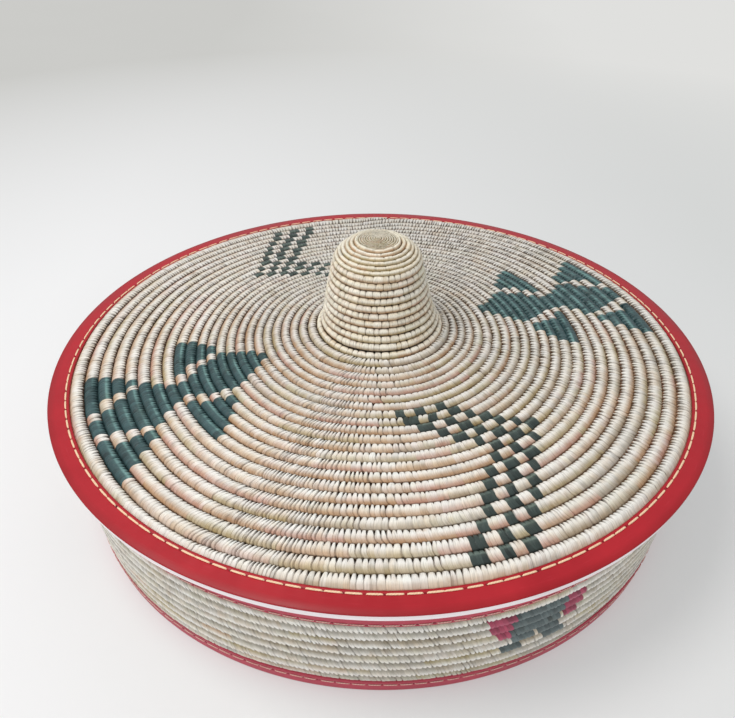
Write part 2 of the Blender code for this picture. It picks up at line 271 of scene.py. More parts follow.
class Look:
    """A Principled material and the nodes that drive it."""

    def __init__(self, name):
        self.material = bpy.data.materials.new(name)
        self.material.use_nodes = True
        self.tree = self.material.node_tree
        self.shader = self.tree.nodes["Principled BSDF"]

    def node(self, kind, settings=None, **inputs):
        made = self.tree.nodes.new(kind)
        for key, value in (settings or {}).items():
            setattr(made, key, value)
        for key, value in inputs.items():
            self.feed(made, key.replace("_", " "), value)
        return made

    def feed(self, node, socket, value):
        socket = node.inputs[int(socket)] if socket.isdigit() else node.inputs[socket]
        if isinstance(value, bpy.types.NodeSocket):
            self.tree.links.new(value, socket)
        else:
            socket.default_value = value

    def math(self, operation, first, second):
        made = self.node("ShaderNodeMath", {"operation": operation})
        self.feed(made, "0", first)
        self.feed(made, "1", second)
        return made.outputs[0]

    def spread(self, value, low, high, to_low, to_high):
        """A value's range mapped to another, and kept inside it."""
        names = {"Value": value, "From_Min": low, "From_Max": high, "To_Min": to_low, "To_Max": to_high}
        return self.node("ShaderNodeMapRange", **names).outputs[0]

    def blend(self, factor, first, second, mode="MIX"):
        """A mix of two colours."""
        made = self.node("ShaderNodeMix", {"data_type": "RGBA", "blend_type": mode})
        self.feed(made, "0", factor)
        self.feed(made, "6", first)
        self.feed(made, "7", second)
        return made.outputs[2]

    def grain(self, stretch, detail=3.0, roughness=0.55, from_map=True):
        """Noise stretched along the straw map or, without it, in the object's own metres."""
        if from_map:
            place = self.node("ShaderNodeUVMap", {"uv_map": STRAW_MAP}).outputs[0]
        else:
            place = self.node("ShaderNodeTexCoord").outputs["Object"]
        place = self.node("ShaderNodeMapping", Vector=place, Scale=stretch).outputs[0]
        settings = {"Vector": place, "Scale": 1.0, "Detail": detail, "Roughness": roughness}
        return self.node("ShaderNodeTexNoise", **settings).outputs[0]

    def cloud(self, scale, detail=3.0, roughness=0.55):
        """Even noise in the object's own metres."""
        return self.grain((scale, scale, scale), detail, roughness, from_map=False)

    def vary(self, noise, low, high):
        """A noise mapped to a range."""
        return self.spread(noise, NOISE_LOW, NOISE_HIGH, low, high)

    def tint(self):
        return self.node("ShaderNodeAttribute", {"attribute_name": TINT}).outputs["Color"]

    def bump(self, height, distance, strength=1.0, below=None):
        inputs = {"Height": height, "Distance": distance, "Strength": strength}
        if below is not None:
            inputs["Normal"] = below
        return self.node("ShaderNodeBump", **inputs).outputs[0]

    def set(self, **inputs):
        for key, value in inputs.items():
            self.feed(self.shader, key.replace("_", " "), value)


def grey(share):
    return (share, share, share, 1.0)


def straw_look(name, fibres_per_metre=2600.0, dyed_roughness=0.40):
    """Split straw: fine fibres and a few splits along each wrap, stains, and more gloss on dyed wraps."""
    look = Look(name)
    fibre = look.grain((fibres_per_metre, 150.0, 1.0), detail=4.0, roughness=0.6)
    split = look.grain((fibres_per_metre / 4, 60.0, 1.0), detail=2.0)
    stain = look.cloud(95.0, detail=4.0, roughness=0.65)
    tint = look.tint()
    shade = look.blend(look.spread(fibre, 0.28, 0.72, 0.0, 1.0), grey(0.74), grey(1.12))
    streaked = look.blend(1.0, tint, shade, "MULTIPLY")
    streaked = look.blend(look.spread(split, 0.34, 0.42, 0.55, 0.0), streaked, grey(0.62), "MULTIPLY")
    stains = look.spread(stain, 0.52, 0.76, 0.0, 0.6)
    stained = look.blend(stains, streaked, (0.80, 0.66, 0.52, 1.0), "MULTIPLY")
    brightness = look.node("ShaderNodeRGBToBW", Color=tint).outputs[0]
    plain_roughness = look.spread(brightness, 0.06, 0.35, dyed_roughness, 0.60)
    rough = look.math("ADD", plain_roughness, look.vary(fibre, -0.07, 0.09))
    look.set(Base_Color=stained, Roughness=rough, Normal=look.bump(fibre, 0.12 * MM, 0.6))
    look.set(Specular_IOR_Level=0.40)
    return look.material


def leather_look(name, colour, dark, pale):
    """Smooth painted leather: a faint grain and rubbed patches of a paler colour."""
    look = Look(name)
    tint = look.tint()
    grain = look.cloud(1500.0, detail=2.0)
    cloud = look.cloud(22.0, detail=4.0, roughness=0.6)
    scuff = look.grain((60.0, 900.0, 1.0), detail=3.0)
    base = look.blend(look.spread(cloud, 0.35, 0.68, 0.0, 1.0), dark, colour)
    base = look.blend(look.spread(scuff, 0.60, 0.80, 0.0, 0.30), base, pale)
    base = look.blend(1.0, base, tint, "MULTIPLY")
    rough = look.math("ADD", look.vary(cloud, 0.36, 0.50), look.vary(grain, -0.04, 0.05))
    creases = look.bump(scuff, 0.10 * MM, 0.25)
    look.set(Base_Color=base, Roughness=rough, Normal=look.bump(grain, 0.05 * MM, 0.5, creases))
    look.set(Specular_IOR_Level=0.32)
    return look.material


def board_look():
    """Glossy white board with thin layers along its edge."""
    look = Look("board_white")
    layers = look.grain((14.0, 2600.0, 1.0), detail=2.0)
    cloud = look.cloud(35.0)
    layered = look.spread(layers, 0.38, 0.66, 0.0, 1.0)
    base = look.blend(layered, opaque(240, 230, 231), opaque(253, 247, 248))
    base = look.blend(look.spread(cloud, 0.50, 0.72, 0.0, 0.5), base, opaque(232, 212, 215))
    rough = look.vary(cloud, 0.34, 0.50)
    look.set(Base_Color=base, Roughness=rough, Normal=look.bump(layers, 0.06 * MM, 0.4))
    return look.material


def thread_look(name, dark, pale, soiled):
    """Waxed two-ply thread: a slanted twist, and soiling that follows it."""
    look = Look(name)
    place = look.node("ShaderNodeUVMap", {"uv_map": STRAW_MAP}).outputs[0]
    place = look.node("ShaderNodeMapping", Vector=place, Rotation=(0.0, 0.0, math.radians(38))).outputs[0]
    twist = look.node("ShaderNodeTexWave", Vector=place, Scale=230.0, Distortion=0.6, Detail=1.0).outputs[1]
    soil = look.cloud(320.0)
    base = look.blend(look.spread(twist, 0.0, 1.0, 0.2, 0.9), dark, pale)
    base = look.blend(look.spread(soil, 0.52, 0.76, 0.0, 0.6), base, soiled)
    rough = look.spread(twist, 0.0, 1.0, 0.70, 0.52)
    look.set(Base_Color=base, Roughness=rough, Normal=look.bump(twist, 0.12 * MM, 0.6))
    return look.material


# Coils

SAME_POINT = 0.001 * MM


class Surface:
    """A turned face, read along its profile. The rows' outer side is on the right of the way along it."""

    def __init__(self, points):
        points = np.array(points, float)
        gaps = np.hypot(*np.diff(points, axis=0).T)
        points = points[np.append(True, gaps > SAME_POINT)]
        gaps = gaps[gaps > SAME_POINT]
        self.places = running_total(gaps)
        self.points = points
        slopes = np.gradient(points, self.places, axis=0)
        self.slopes = slopes / np.hypot(*slopes.T)[:, None]

    @property
    def length(self):
        return self.places[-1]

    def at(self, place):
        """Radius, height, and the direction along, with straight runs beyond both ends."""
        inside = np.clip(place, 0, self.length)
        beyond = place - inside
        slope_r, slope_z = (np.interp(inside, self.places, column) for column in self.slopes.T)
        size = np.hypot(slope_r, slope_z)
        slope_r, slope_z = slope_r / size, slope_z / size
        radius, height = (np.interp(inside, self.places, column) for column in self.points.T)
        return radius + beyond * slope_r, height + beyond * slope_z, slope_r, slope_z


def rounded_curve(points, spacing):
    """A smooth line through the points, evenly spaced."""
    points = np.array(points, float)
    padded = np.vstack([2 * points[0] - points[1], points, 2 * points[-1] - points[-2]])
    run = []
    for before, start, end, after in zip(padded, padded[1:], padded[2:], padded[3:]):
        steps = max(2, math.ceil(np.hypot(*(end - start)) / spacing))
        t = (np.arange(steps) / steps)[:, None]
        run.append(
            start
            + t * (end - before) / 2
            + t**2 * (before - 2.5 * start + 2 * end - after / 2)
            + t**3 * (1.5 * (start - end) + (after - before) / 2)
        )
    return np.vstack([*run, points[-1:]])


STEP_START, STEP_END = 173.0, 187.0
CLIMB_START, CLIMB_END = 120.0, 240.0


def stepped(azimuth):
    """A coil that moves to the next row in one short stretch, at the back."""
    return smooth_step(azimuth, STEP_START, STEP_END)


def climbing(azimuth):
    """The same over a longer stretch, for the knob."""
    return smooth_step(azimuth, CLIMB_START, CLIMB_END)


def steady(azimuth):
    """A coil that moves to the next row evenly."""
    return azimuth / 360


# The step along a coil's route in degrees, and the least half width of its row
PATH_STEP = 0.5
LEAST_HALF_ROW = 0.2 * MM


class Path:
    """Where a coil lies: turn by turn on a surface, from row_places[0] on."""

    def __init__(self, surface, row_places, first_row, rise, swing, start, end, overlap=1.05):
        self.surface = surface
        self.row_places = np.array(row_places)
        self.rows = first_row + np.arange(len(row_places))
        self.rise = rise
        self.swing = swing
        self.overlap = overlap
        self.turned = np.arange(start, end, PATH_STEP)
        radius, height, azimuth = self.middle(self.turned)
        points = round_points(radius, height, azimuth)
        gaps = np.linalg.norm(np.diff(points, axis=0), axis=1)
        self.lengths = running_total(gaps)

    def row(self, turned):
        """The row that the coil's middle is at, a whole number and a half away from its steps."""
        turn = np.floor(turned / 360)
        return turn + self.rise(turned - 360 * turn) + 0.5

    def sides(self, turned):
        row = self.row(turned)
        azimuth = turned % 360
        places = []
        for side in (row - 0.5, row + 0.5):
            place = np.interp(side, self.rows, self.row_places)
            places.append(place + self.swing(azimuth, place))
        return places

    def middle(self, turned):
        low, high = self.sides(turned)
        radius, height, _, _ = self.surface.at((low + high) / 2)
        return radius, height, np.radians(turned)

    def place(self, lengths, section, sunk, reach, thickness):
        """Points on the coil, sunk towards its middle and reaching over the older row."""
        turned = np.interp(lengths, self.lengths, self.turned)
        low, high = self.sides(turned)
        half = np.maximum((high - low) / 2 * self.overlap, LEAST_HALF_ROW)
        radius, height, along_r, along_z = self.surface.at((low + high) / 2)
        depth = thickness(radius) / 2
        across, up = half * section.sine, depth * section.cosine
        shrink = 1 - sunk / np.hypot(across, up)
        across, up = across * shrink + reach * section.older, up * shrink - depth
        up = up + section.tilt * across * section.older
        return (
            radius + along_r * across + along_z * up,
            height + along_z * across - along_r * up,
            np.radians(turned),
        )


class Wraps:
    """The wraps along a coil: where each starts and ends, and its slant, looseness and colour."""

    def __init__(self, path, seed, pitch, uneven=0.16):
        self.random = np.random.default_rng(seed)
        self.path = path
        edges = [0.0]
        while edges[-1] < path.lengths[-1]:
            turned = np.interp(edges[-1], path.lengths, path.turned)
            edges.append(edges[-1] + pitch(turned) * self.random.uniform(1 - uneven, 1 + uneven))
        self.edges = np.array(edges[:-1])
        self.count = len(self.edges) - 1
        self.middles = (self.edges[:-1] + self.edges[1:]) / 2
        self.turned = np.interp(self.middles, path.lengths, path.turned)
        self.azimuths = self.turned % 360
        self.rows = np.floor(path.row(self.turned))

    def strands(self, shortest, longest):
        """A number for each wrap that stays the same along one strand of straw."""
        numbers = np.empty(self.count, int)
        place = strand = 0
        while place < self.count:
            run = self.random.integers(shortest, longest + 1)
            numbers[place : place + run] = strand
            place += run
            strand += 1
        return numbers


def along_noise(turned, seed, waves=5, slowest=0.9, fastest=6.0):
    """Smooth noise from -1 to 1 or so along a coil, unlike from one turn to the next."""
    random = np.random.default_rng(seed)
    rates = random.uniform(slowest, fastest, waves)
    phases = random.uniform(0, math.tau, waves)
    turns = np.radians(np.asarray(turned))[..., None]
    return np.cos(turns * rates + phases).sum(-1) / math.sqrt(waves)


# Angles round a coil's section, from the crest to both sides. The older side, which is sewn to the row
# before, is positive
COIL_ANGLES = (-145.0, -100.0, -74.0, -60.0, -46.0, -30.0, -12.0, 6.0, 20.0, 34.0, 48.0, 62.0, 88.0, 135.0)
LIGHT_ANGLES = (-140.0, -85.0, -62.0, -46.0, -28.0, -9.0, 9.0, 26.0, 42.0, 58.0, 85.0, 140.0)
FULLNESS = 0.92
# Where on the section each part of it starts and is full, in the same degrees. The crest takes a painted
# highlight, and the flank a browner tone that is partly painted shade.
SURFACE_END, TOOTH_END = 110, 120
TOOTH_FROM, TOOTH_FULL = 4, 52
FLANK_FROM, FLANK_FULL = -14, 40
TWIST_FROM, TWIST_FULL = 12, 75
CREST_HIGHLIGHT_REACH = 28


class Section:
    """A coil's cross-section. older says which way along the surface the older row lies, 1 or -1."""

    def __init__(self, facing, older, tilt=0.10, deep_shade=(44, 62), shade=(46, 66), crest=24):
        facing = np.array(facing)
        turn = np.radians(facing * older)
        self.count = len(turn)
        self.sine = np.sign(np.sin(turn)) * np.abs(np.sin(turn)) ** FULLNESS
        self.cosine = np.sign(np.cos(turn)) * np.abs(np.cos(turn)) ** FULLNESS
        self.older = older
        self.tilt = tilt
        self.tooth = smooth_step(facing, TOOTH_FROM, TOOTH_FULL) * (facing < TOOTH_END)
        # Masks for the painted highlight, the flank's browner tone and painted shade, and the valleys'
        # painted shade
        self.crest = fading(facing - crest, CREST_HIGHLIGHT_REACH)
        outside = np.abs(facing) < SURFACE_END
        self.flank = smooth_step(-facing, FLANK_FROM, FLANK_FULL) * outside
        self.deep_shade = np.maximum(smooth_step(-facing, *deep_shade), smooth_step(facing, *shade)) * outside
        self.twist = smooth_step(-facing, TWIST_FROM, TWIST_FULL)


NARROWEST_SEAM, WIDEST_SEAM = 0.22 * MM, 0.72 * MM
SHALLOWEST_SEAM, DEEPEST_SEAM = 0.06 * MM, 1.15 * MM
TOOTH_REACH, TOOTH_NOTCH = 0.70 * MM, 1.3 * MM
PILLOW = 0.06 * MM
SLANT_REACH, TWIST_REACH = 4 * MM, 3 * MM
SEAM_SHADE = np.array([0.15, 0.10, 0.08])
# How much less a seam shows on the flank, between dyed wraps and at their tips
FLANK_SEAM_FADE, DYED_SEAM_SHARE = 0.5, 0.18
TIP_SHADE = 0.50
# How much narrower the painted highlight is on a dyed wrap
DYED_NARROWNESS = 5.0
SPIKE_PINCH = 0.22
BLUNT_SHOULDER, SQUARE_SHOULDER = 0.15, 0.70
COIL_GIRTH = 26 * MM
# Rings of points for each wrap: the seam before it, its first edge, two on its face and its last edge
RINGS = 5
FACE_SHARES = (0.32, 0.68)
FACE_PINCH = 0.6


class Straw:
    """The wraps' colours: a painted highlight on the crest, the body, a browner tone on the side away from
    the older row that is partly painted shade, and painted shade between rows.
    """

    def __init__(self, crest, body, flank, deep_shade, dyed):
        self.crest, self.body, self.flank, self.deep_shade, self.dyed = crest, body, flank, deep_shade, dyed

    def at(self, wraps, section):
        narrowness = np.where(self.dyed[wraps], DYED_NARROWNESS, 1.0)
        crest = section.crest[None, :, None] ** narrowness[:, None, None]
        colours = self.body[wraps][:, None, :]
        for mask, target in ((crest, self.crest), (section.flank, self.flank), (section.deep_shade, self.deep_shade)):
            mask = mask if mask.ndim == 3 else mask[None, :, None]
            colours = colours + (target[wraps][:, None, :] - colours) * mask
        return colours


class Lay:
    """How the wraps lie: how open each seam is, and each wrap's slant, its twist on the flank and its tip.

    square is how straight the tips end. The others are pinched to a point.
    """

    def __init__(self, wraps, open_share, slant, twist=0.6, pinch=0.05, tooth=1.0, square=0.5, opening=1.0):
        random = wraps.random
        open_seams = random.random(wraps.count) < open_share
        wide, narrow = random.uniform(0.40, 1.0, wraps.count), random.uniform(0.0, 0.22, wraps.count)
        gap = np.where(open_seams, wide, narrow)
        self.gap = np.append(gap, gap[-1]) * opening
        self.slant = slant + random.normal(0, 0.05, wraps.count)
        self.twist = twist * random.uniform(0.4, 1.5, wraps.count)
        self.square = np.clip(square + random.normal(0, 0.12, wraps.count), 0, 1)
        self.pinch = (pinch + SPIKE_PINCH * (1 - self.square)) * random.uniform(0.6, 1.4, wraps.count)
        self.tooth = tooth * random.uniform(0.6, 1.3, wraps.count)
        self.lift = random.normal(0, 0.08 * MM, wraps.count)
        self.lift = self.lift + 0.12 * MM * along_noise(wraps.turned, 2, fastest=14.0)


def build_coil(name, wraps, pieces, section, thickness, straw, lay, limit, home, bend=None):
    """The wrapped coil, in several pieces so that none is too heavy.

    limit keeps the points clear of what covers the coil, and bend moves the finished points. home is the
    pieces' material, body, slot and CAD node. The slot is not used.
    """
    made = []
    cuts = np.linspace(0, wraps.count, pieces + 1).astype(int)
    for number, (first, last) in enumerate(zip(cuts, cuts[1:])):
        grid, lengths, tints = coil_grid(wraps, first, last, section, thickness, straw, lay, limit)
        if bend:
            grid = bend(grid)
        around = np.linspace(0, 1, section.count + 1) * COIL_GIRTH
        sharp = np.isin(np.arange(len(lengths)) % RINGS, (1, RINGS - 1))
        title = f"{name}_{number + 1}" if pieces > 1 else name
        made.append(add_mesh(title, grid, False, lengths, around, tints, sharp))
    for piece in made:
        finish_piece(piece, *home)


def coil_grid(wraps, first, last, section, thickness, straw, lay, limit):
    index = np.arange(first, last)
    seams = np.arange(first, last + 1)
    before = np.clip(seams - 1, 0, wraps.count - 1)
    after = np.clip(seams, 0, wraps.count - 1)
    start, end = wraps.edges[index], wraps.edges[index + 1]
    width = end - start
    half_seam = NARROWEST_SEAM + (WIDEST_SEAM - NARROWEST_SEAM) * lay.gap
    rings = len(index) * RINGS + 1
    lengths = np.empty(rings)
    sunk, reach, shift = (np.zeros((rings, section.count)) for _ in range(3))
    lengths[0::RINGS] = wraps.edges[seams]
    lengths[1::RINGS] = start + half_seam[index]
    lengths[2::RINGS] = start + FACE_SHARES[0] * width
    lengths[3::RINGS] = start + FACE_SHARES[1] * width
    lengths[4::RINGS] = end - half_seam[index + 1]
    seam_depth = SHALLOWEST_SEAM + (DEEPEST_SEAM - SHALLOWEST_SEAM) * lay.gap[seams]
    notch = TOOTH_NOTCH * (lay.tooth[before] + lay.tooth[after]) / 2
    sunk[0::RINGS] = seam_depth[:, None] + notch[:, None] * section.tooth
    shift[0::RINGS] = lean(lay, before, section) / 2 + lean(lay, after, section) / 2
    pinch = (lay.pinch[index] * width)[:, None] * section.tooth
    shoulder = BLUNT_SHOULDER + (SQUARE_SHOULDER - BLUNT_SHOULDER) * lay.square[index]
    shapes = ((1, 0, shoulder, 1), (2, 1, 1, FACE_PINCH), (3, 1, 1, -FACE_PINCH), (4, 0, shoulder, -1))
    for ring, raised, tooth, inwards in shapes:
        sunk[ring::RINGS] = lay.lift[index][:, None] - raised * PILLOW
        reach[ring::RINGS] = (tooth * TOOTH_REACH * lay.tooth[index])[:, None] * section.tooth
        shift[ring::RINGS] = lean(lay, index, section) + inwards * pinch
    radius, height, azimuth = wraps.path.place(lengths[:, None] + shift, section, sunk, reach, thickness)
    radius, height = limit(radius, height)

    tints = np.empty((rings, section.count, 3))
    wrap_tints = straw.at(index, section)
    # Painted shade at the wraps' tips and in the open seams, weaker on the flank and between dyed wraps
    seen = np.where(straw.dyed, DYED_SEAM_SHARE, 1.0)
    tip = section.tooth[None, :, None] * np.clip(lay.tooth, 0, 1)[:, None, None]
    for ring, shade in ((1, TIP_SHADE), (2, 0.0), (3, 0.0), (4, TIP_SHADE)):
        tints[ring::RINGS] = wrap_tints * (1 - shade * tip[index] * seen[index][:, None, None])
    fade = 1 - FLANK_SEAM_FADE * section.flank[None, :, None]
    darkness = np.maximum((0.10 + 0.90 * lay.gap[seams][:, None, None]) * fade, tip[before])
    darkness = darkness * np.minimum(seen[before], seen[after])[:, None, None]
    seam_tints = np.minimum(straw.at(before, section), straw.at(after, section))
    tints[0::RINGS] = seam_tints * (1 - darkness * (1 - SEAM_SHADE))
    return round_points(radius, height, azimuth), lengths, tints


def lean(lay, wraps, section):
    """How far along the coil each point of a wrap is moved by its slant and its twist."""
    slanted = lay.slant[wraps][:, None] * section.sine[None, :] * SLANT_REACH
    return slanted + lay.twist[wraps][:, None] * section.twist[None, :] * TWIST_REACH


# Colours of straw, undyed and dyed, and how often each undyed one comes up
WHITE, CREAM, TAN = linear(238, 233, 226), linear(229, 219, 201), linear(212, 194, 166)
PINK, OLIVE, STONE = linear(226, 208, 198), linear(212, 208, 186), linear(208, 204, 194)
BODIES = np.array([WHITE, CREAM, TAN, PINK, OLIVE, STONE])
# Colours of the rows' outer flanks: the straw's own browner tone, standing partly for painted shade
BROWN, ROSE, MOSS = linear(182, 142, 104), linear(188, 138, 120), linear(166, 150, 102)
ASH, GREY = linear(156, 142, 118), linear(158, 152, 138)
FLANKS = np.array([BROWN, ROSE, MOSS, ASH, GREY])
# A painted highlight along the rows' crests, and how much of it a crest takes
CREST_HIGHLIGHT = linear(248, 245, 238)
CREST_HIGHLIGHT_SHARE = 0.72
# Painted shade, with some dirt, in the valleys between rows, as shares of the flank's colour
DEEP_SHADE = np.array([0.32, 0.23, 0.17])
BASE_DEEP_SHADE = np.array([0.24, 0.23, 0.21])
KNOB_DEEP_SHADE = np.array([0.34, 0.24, 0.15])
KNOB_LIGHT = np.array([0.99, 0.97, 0.89])
INNER_LIGHT, CAP_LIGHT_SHARE = 0.95, 0.84
# How far a wrap's body and flank may stray from the main colour
BODY_SPREAD, FLANK_SPREAD = 0.9, 0.75
DULL_WRAPS, DULLNESS = 0.05, 0.25
# Dyed wraps' unevenness, and their flanks' and valleys' painted shade as shares of the dye
DYE_UNEVENNESS, DYED_FLANK, DYED_DEEP_SHADE = 0.16, 0.9, 0.75
DARKEST, LIGHTEST = 0.004, 0.94

FRONT_MIX = (np.array([0.40, 0.34, 0.08, 0.08, 0.04, 0.06]), np.array([0.60, 0.20, 0.12, 0.08, 0.00]))
LEFT_MIX = (np.array([0.26, 0.32, 0.16, 0.14, 0.08, 0.04]), np.array([0.48, 0.22, 0.26, 0.04, 0.00]))
RIGHT_MIX = (np.array([0.16, 0.38, 0.06, 0.00, 0.22, 0.18]), np.array([0.30, 0.06, 0.34, 0.22, 0.08]))
BACK_MIX = (np.array([0.22, 0.38, 0.12, 0.04, 0.14, 0.10]), np.array([0.44, 0.10, 0.30, 0.16, 0.00]))
BASE_MIX = (np.array([0.20, 0.24, 0.02, 0.04, 0.20, 0.30]), np.array([0.04, 0.02, 0.14, 0.30, 0.50]))
KNOB_MIX = (np.array([0.34, 0.34, 0.12, 0.12, 0.06, 0.02]), np.array([0.66, 0.12, 0.18, 0.04, 0.00]))
DOME_MIX = (np.array([0.06, 0.42, 0.10, 0.00, 0.38, 0.04]), np.array([0.45, 0.00, 0.50, 0.05, 0.00]))

DYES = {
    "charcoal": linear(58, 70, 66),
    "teal": linear(54, 80, 82),
    "slate": linear(98, 110, 110),
    "magenta": linear(174, 74, 98),
}
# Painted highlights along the crests of dyed wraps, where their gloss would catch the light
DYE_HIGHLIGHTS = {
    "charcoal": linear(118, 134, 124),
    "teal": linear(128, 168, 164),
    "slate": linear(126, 138, 138),
    "magenta": linear(196, 104, 130),
}


def pick(draws, mix):
    """One of the choices for each draw from 0 to 1. mix has a row of shares for each draw."""
    sums = np.cumsum(mix, axis=1)
    return (draws[:, None] * sums[:, -1:] > sums).sum(1).clip(0, mix.shape[1] - 1)


def spread_mix(shares, mixes, part):
    """The mix of each wrap, from how much it takes of each named mix."""
    mixed = sum(share[:, None] * mix[part][None, :] for share, mix in zip(shares, mixes))
    return mixed / sum(shares)[:, None]


def no_dye(azimuth, row):
    return None


def straw_colours(
    wraps,
    shares,
    mixes,
    dye_at=no_dye,
    strands_of=(2, 8),
    light=1.0,
    deep_shade=DEEP_SHADE,
    browning_and_shade=0.9,
    flank_tint=BROWN,
):
    """Each wrap's colours: the tint of its strand, a little change of its own, or a dye. Its crest takes a
    painted highlight, its flank a browner tone that is partly painted shade, and its valley painted shade.

    strands_of is how many wraps one strand makes, at least and at most. light scales the colours; where it
    changes round the coil it paints light and shade.
    """
    random = wraps.random
    strands = wraps.strands(*strands_of)
    many = strands[-1] + 1
    mix = spread_mix(shares, mixes, 0)
    bodies = BODIES[pick(random.random(many)[strands], mix)]
    other = BODIES[pick(random.random(wraps.count), mix)]
    flank_strands = wraps.strands(strands_of[0] * 3, strands_of[1] * 3)
    flank_draws = random.random(flank_strands[-1] + 1)[flank_strands]
    flanks = FLANKS[pick(flank_draws, spread_mix(shares, mixes, 1))]
    flanks = flank_tint + (flanks - flank_tint) * FLANK_SPREAD
    bodies = bodies + (other - bodies) * random.uniform(0, 0.7, wraps.count)[:, None]
    bodies = CREAM + (bodies - CREAM) * BODY_SPREAD
    uneven = random.normal(1, 0.03, many)[strands] * random.normal(1, 0.06, wraps.count)
    uneven *= 1 - DULLNESS * (random.random(wraps.count) < DULL_WRAPS)
    bodies = bodies * uneven[:, None] * light
    # The painted highlight on each wrap's crest
    highlights = bodies + (CREST_HIGHLIGHT * light - bodies) * CREST_HIGHLIGHT_SHARE
    # How strongly each flank takes its browner tone and painted shade
    strength = np.clip(browning_and_shade + 0.18 * along_noise(wraps.turned, 17, fastest=9.0), 0.3, 1)
    strength *= random.uniform(0.80, 1.0, wraps.count)
    flanks = bodies + (flanks * light - bodies) * strength[:, None]
    # Painted shade, with some dirt, in the valleys
    deep_shades = flanks * deep_shade
    # Streaks of painted highlight along the dyed wraps' crests
    highlight_streak = 0.55 + 0.35 * along_noise(wraps.turned, 18, fastest=20.0)
    highlight_streak = np.clip(highlight_streak + random.normal(0, 0.2, wraps.count), 0, 1)
    dyed = np.zeros(wraps.count, bool)
    for wrap in range(wraps.count):
        dye = dye_at(wraps.azimuths[wrap], wraps.rows[wrap])
        if dye:
            shade = random.normal(1, DYE_UNEVENNESS)
            dyed[wrap] = True
            bodies[wrap] = DYES[dye] * shade
            highlights[wrap] = DYES[dye] + (DYE_HIGHLIGHTS[dye] - DYES[dye]) * highlight_streak[wrap]
            flanks[wrap] = DYES[dye] * shade * DYED_FLANK
            deep_shades[wrap] = DYES[dye] * DYED_DEEP_SHADE
    return Straw(*(np.clip(part, DARKEST, LIGHTEST) for part in (highlights, bodies, flanks, deep_shades)), dyed)


def inner_straw(wraps):
    """The undyed straw of the floor and the seat ring."""
    ones = np.ones(wraps.count)
    tones = {"deep_shade": BASE_DEEP_SHADE, "flank_tint": GREY}
    return straw_colours(wraps, [ones], (BASE_MIX,), light=INNER_LIGHT, **tones)


# The lid's rows

LID_ROWS = 23
LID_ROW_TAPER_SHARE, LID_ROW_TAPER_POWER = 0.49, 2.27
FIRST_ROW_OVERLAP = 1.0 * MM
FIRST_ROW_TUCK = 1.2 * MM
TONGUE = 4.0 * MM

# Where the rows swing off true circles: the azimuth, the reach to each side in degrees, and how far
# inwards the rows lie there, in millimetres, at each of the radii below
LID_SWINGS = (
    (40, 40, (-1.5, 0.5, 1.5, 1.5)),
    (105, 85, (0.5, 2.5, 6.0, 6.0)),
    (145, 22, (-2.0, -1.5, 0.0, 0.5)),
    (195, 55, (5.0, 6.5, 7.5, 4.0)),
    (250, 65, (0.5, 1.5, 4.5, 1.5)),
    (330, 32, (-4.5, -4.5, -3.0, -1.0)),
)
SWING_RADII = (0.2245, 0.200, 0.145, 0.077)
SWING_AT_BAND, SWING_AT_ROOT = 0.25, 0.3

# Azimuth of the start of the chevron's first dark cell, by row from the band inwards
CHEVRON_STARTS = {
    2: 13.1, 3: 14.0, 4: 16.1, 5: 18.1, 6: 19.4, 7: 21.6, 8: 22.9, 9: 26.4,
    10: 29.25, 11: 25.4, 12: 21.0, 13: 17.0, 14: 12.4, 15: 8.2, 16: 4.4,
}
CHEVRON_CELL = 17.1 * MM
# Inside this radius the cells get shorter with the rows
CHEVRON_FULL_RADIUS = 0.118
CHEVRON_DARK_SHARE = 0.465
CHEVRON_CELLS = 3
CHEVRON_TURNS = (0.0, 184.0)

# Half widths of the double arrow in degrees, by row: its middle, then its wings from and to
ARROW_HALVES = {
    2: (2.3, 4.45, 15.5), 3: (3.8, 7.0, 14.1), 4: (5.0, 7.5, 12.5), 5: (6.65, 8.45, 11.0),
    6: (7.7, 0, 0), 7: (5.8, 0, 0), 8: (3.9, 0, 0),
    9: (3.0, 6.2, 22.0), 10: (5.0, 9.3, 20.9), 11: (7.1, 10.9, 18.7), 12: (8.65, 12.4, 16.6),
    13: (10.75, 0, 0), 14: (9.7, 0, 0), 15: (8.4, 0, 0), 16: (5.8, 0, 0), 17: (3.0, 0, 0),
}
ARROW_FIRST_ROW, ARROW_LAST_ROW = 2, 17
# The arrows' middle lines, each at its first and last row, and how much wider each is than the widths above
ARROW_AXES = ((297.4, 293.1, 1.0), (111.5, 108.7, 1.06))


def lid_row_radii():
    """Radii of the lid's row edges. One more row lies hidden at each end."""
    share = np.arange(LID_ROWS) / (LID_ROWS - 1)
    weights = 1 + LID_ROW_TAPER_SHARE * (1 - share) ** LID_ROW_TAPER_POWER
    start = BAND_INNER + FIRST_ROW_OVERLAP
    inner = start - np.cumsum(weights) * (start - KNOB_ROOT) / weights.sum()
    outer = [BAND_INNER + TONGUE, start + FIRST_ROW_TUCK]
    return np.concatenate([outer, inner, [2 * inner[-1] - inner[-2]]])


def apart(azimuth, centre):
    """Degrees from the centre, from -180 to 180."""
    return (azimuth - centre + 180) % 360 - 180


def swing_column(azimuth, column):
    """How far inwards the rows lie at one of the radii above."""
    total = 0
    for centre, reach, inwards in LID_SWINGS:
        away = np.clip(apart(azimuth, centre) / reach, -1, 1)
        total = total + inwards[column] * np.cos(away * math.pi / 2) ** 2
    return total * MM


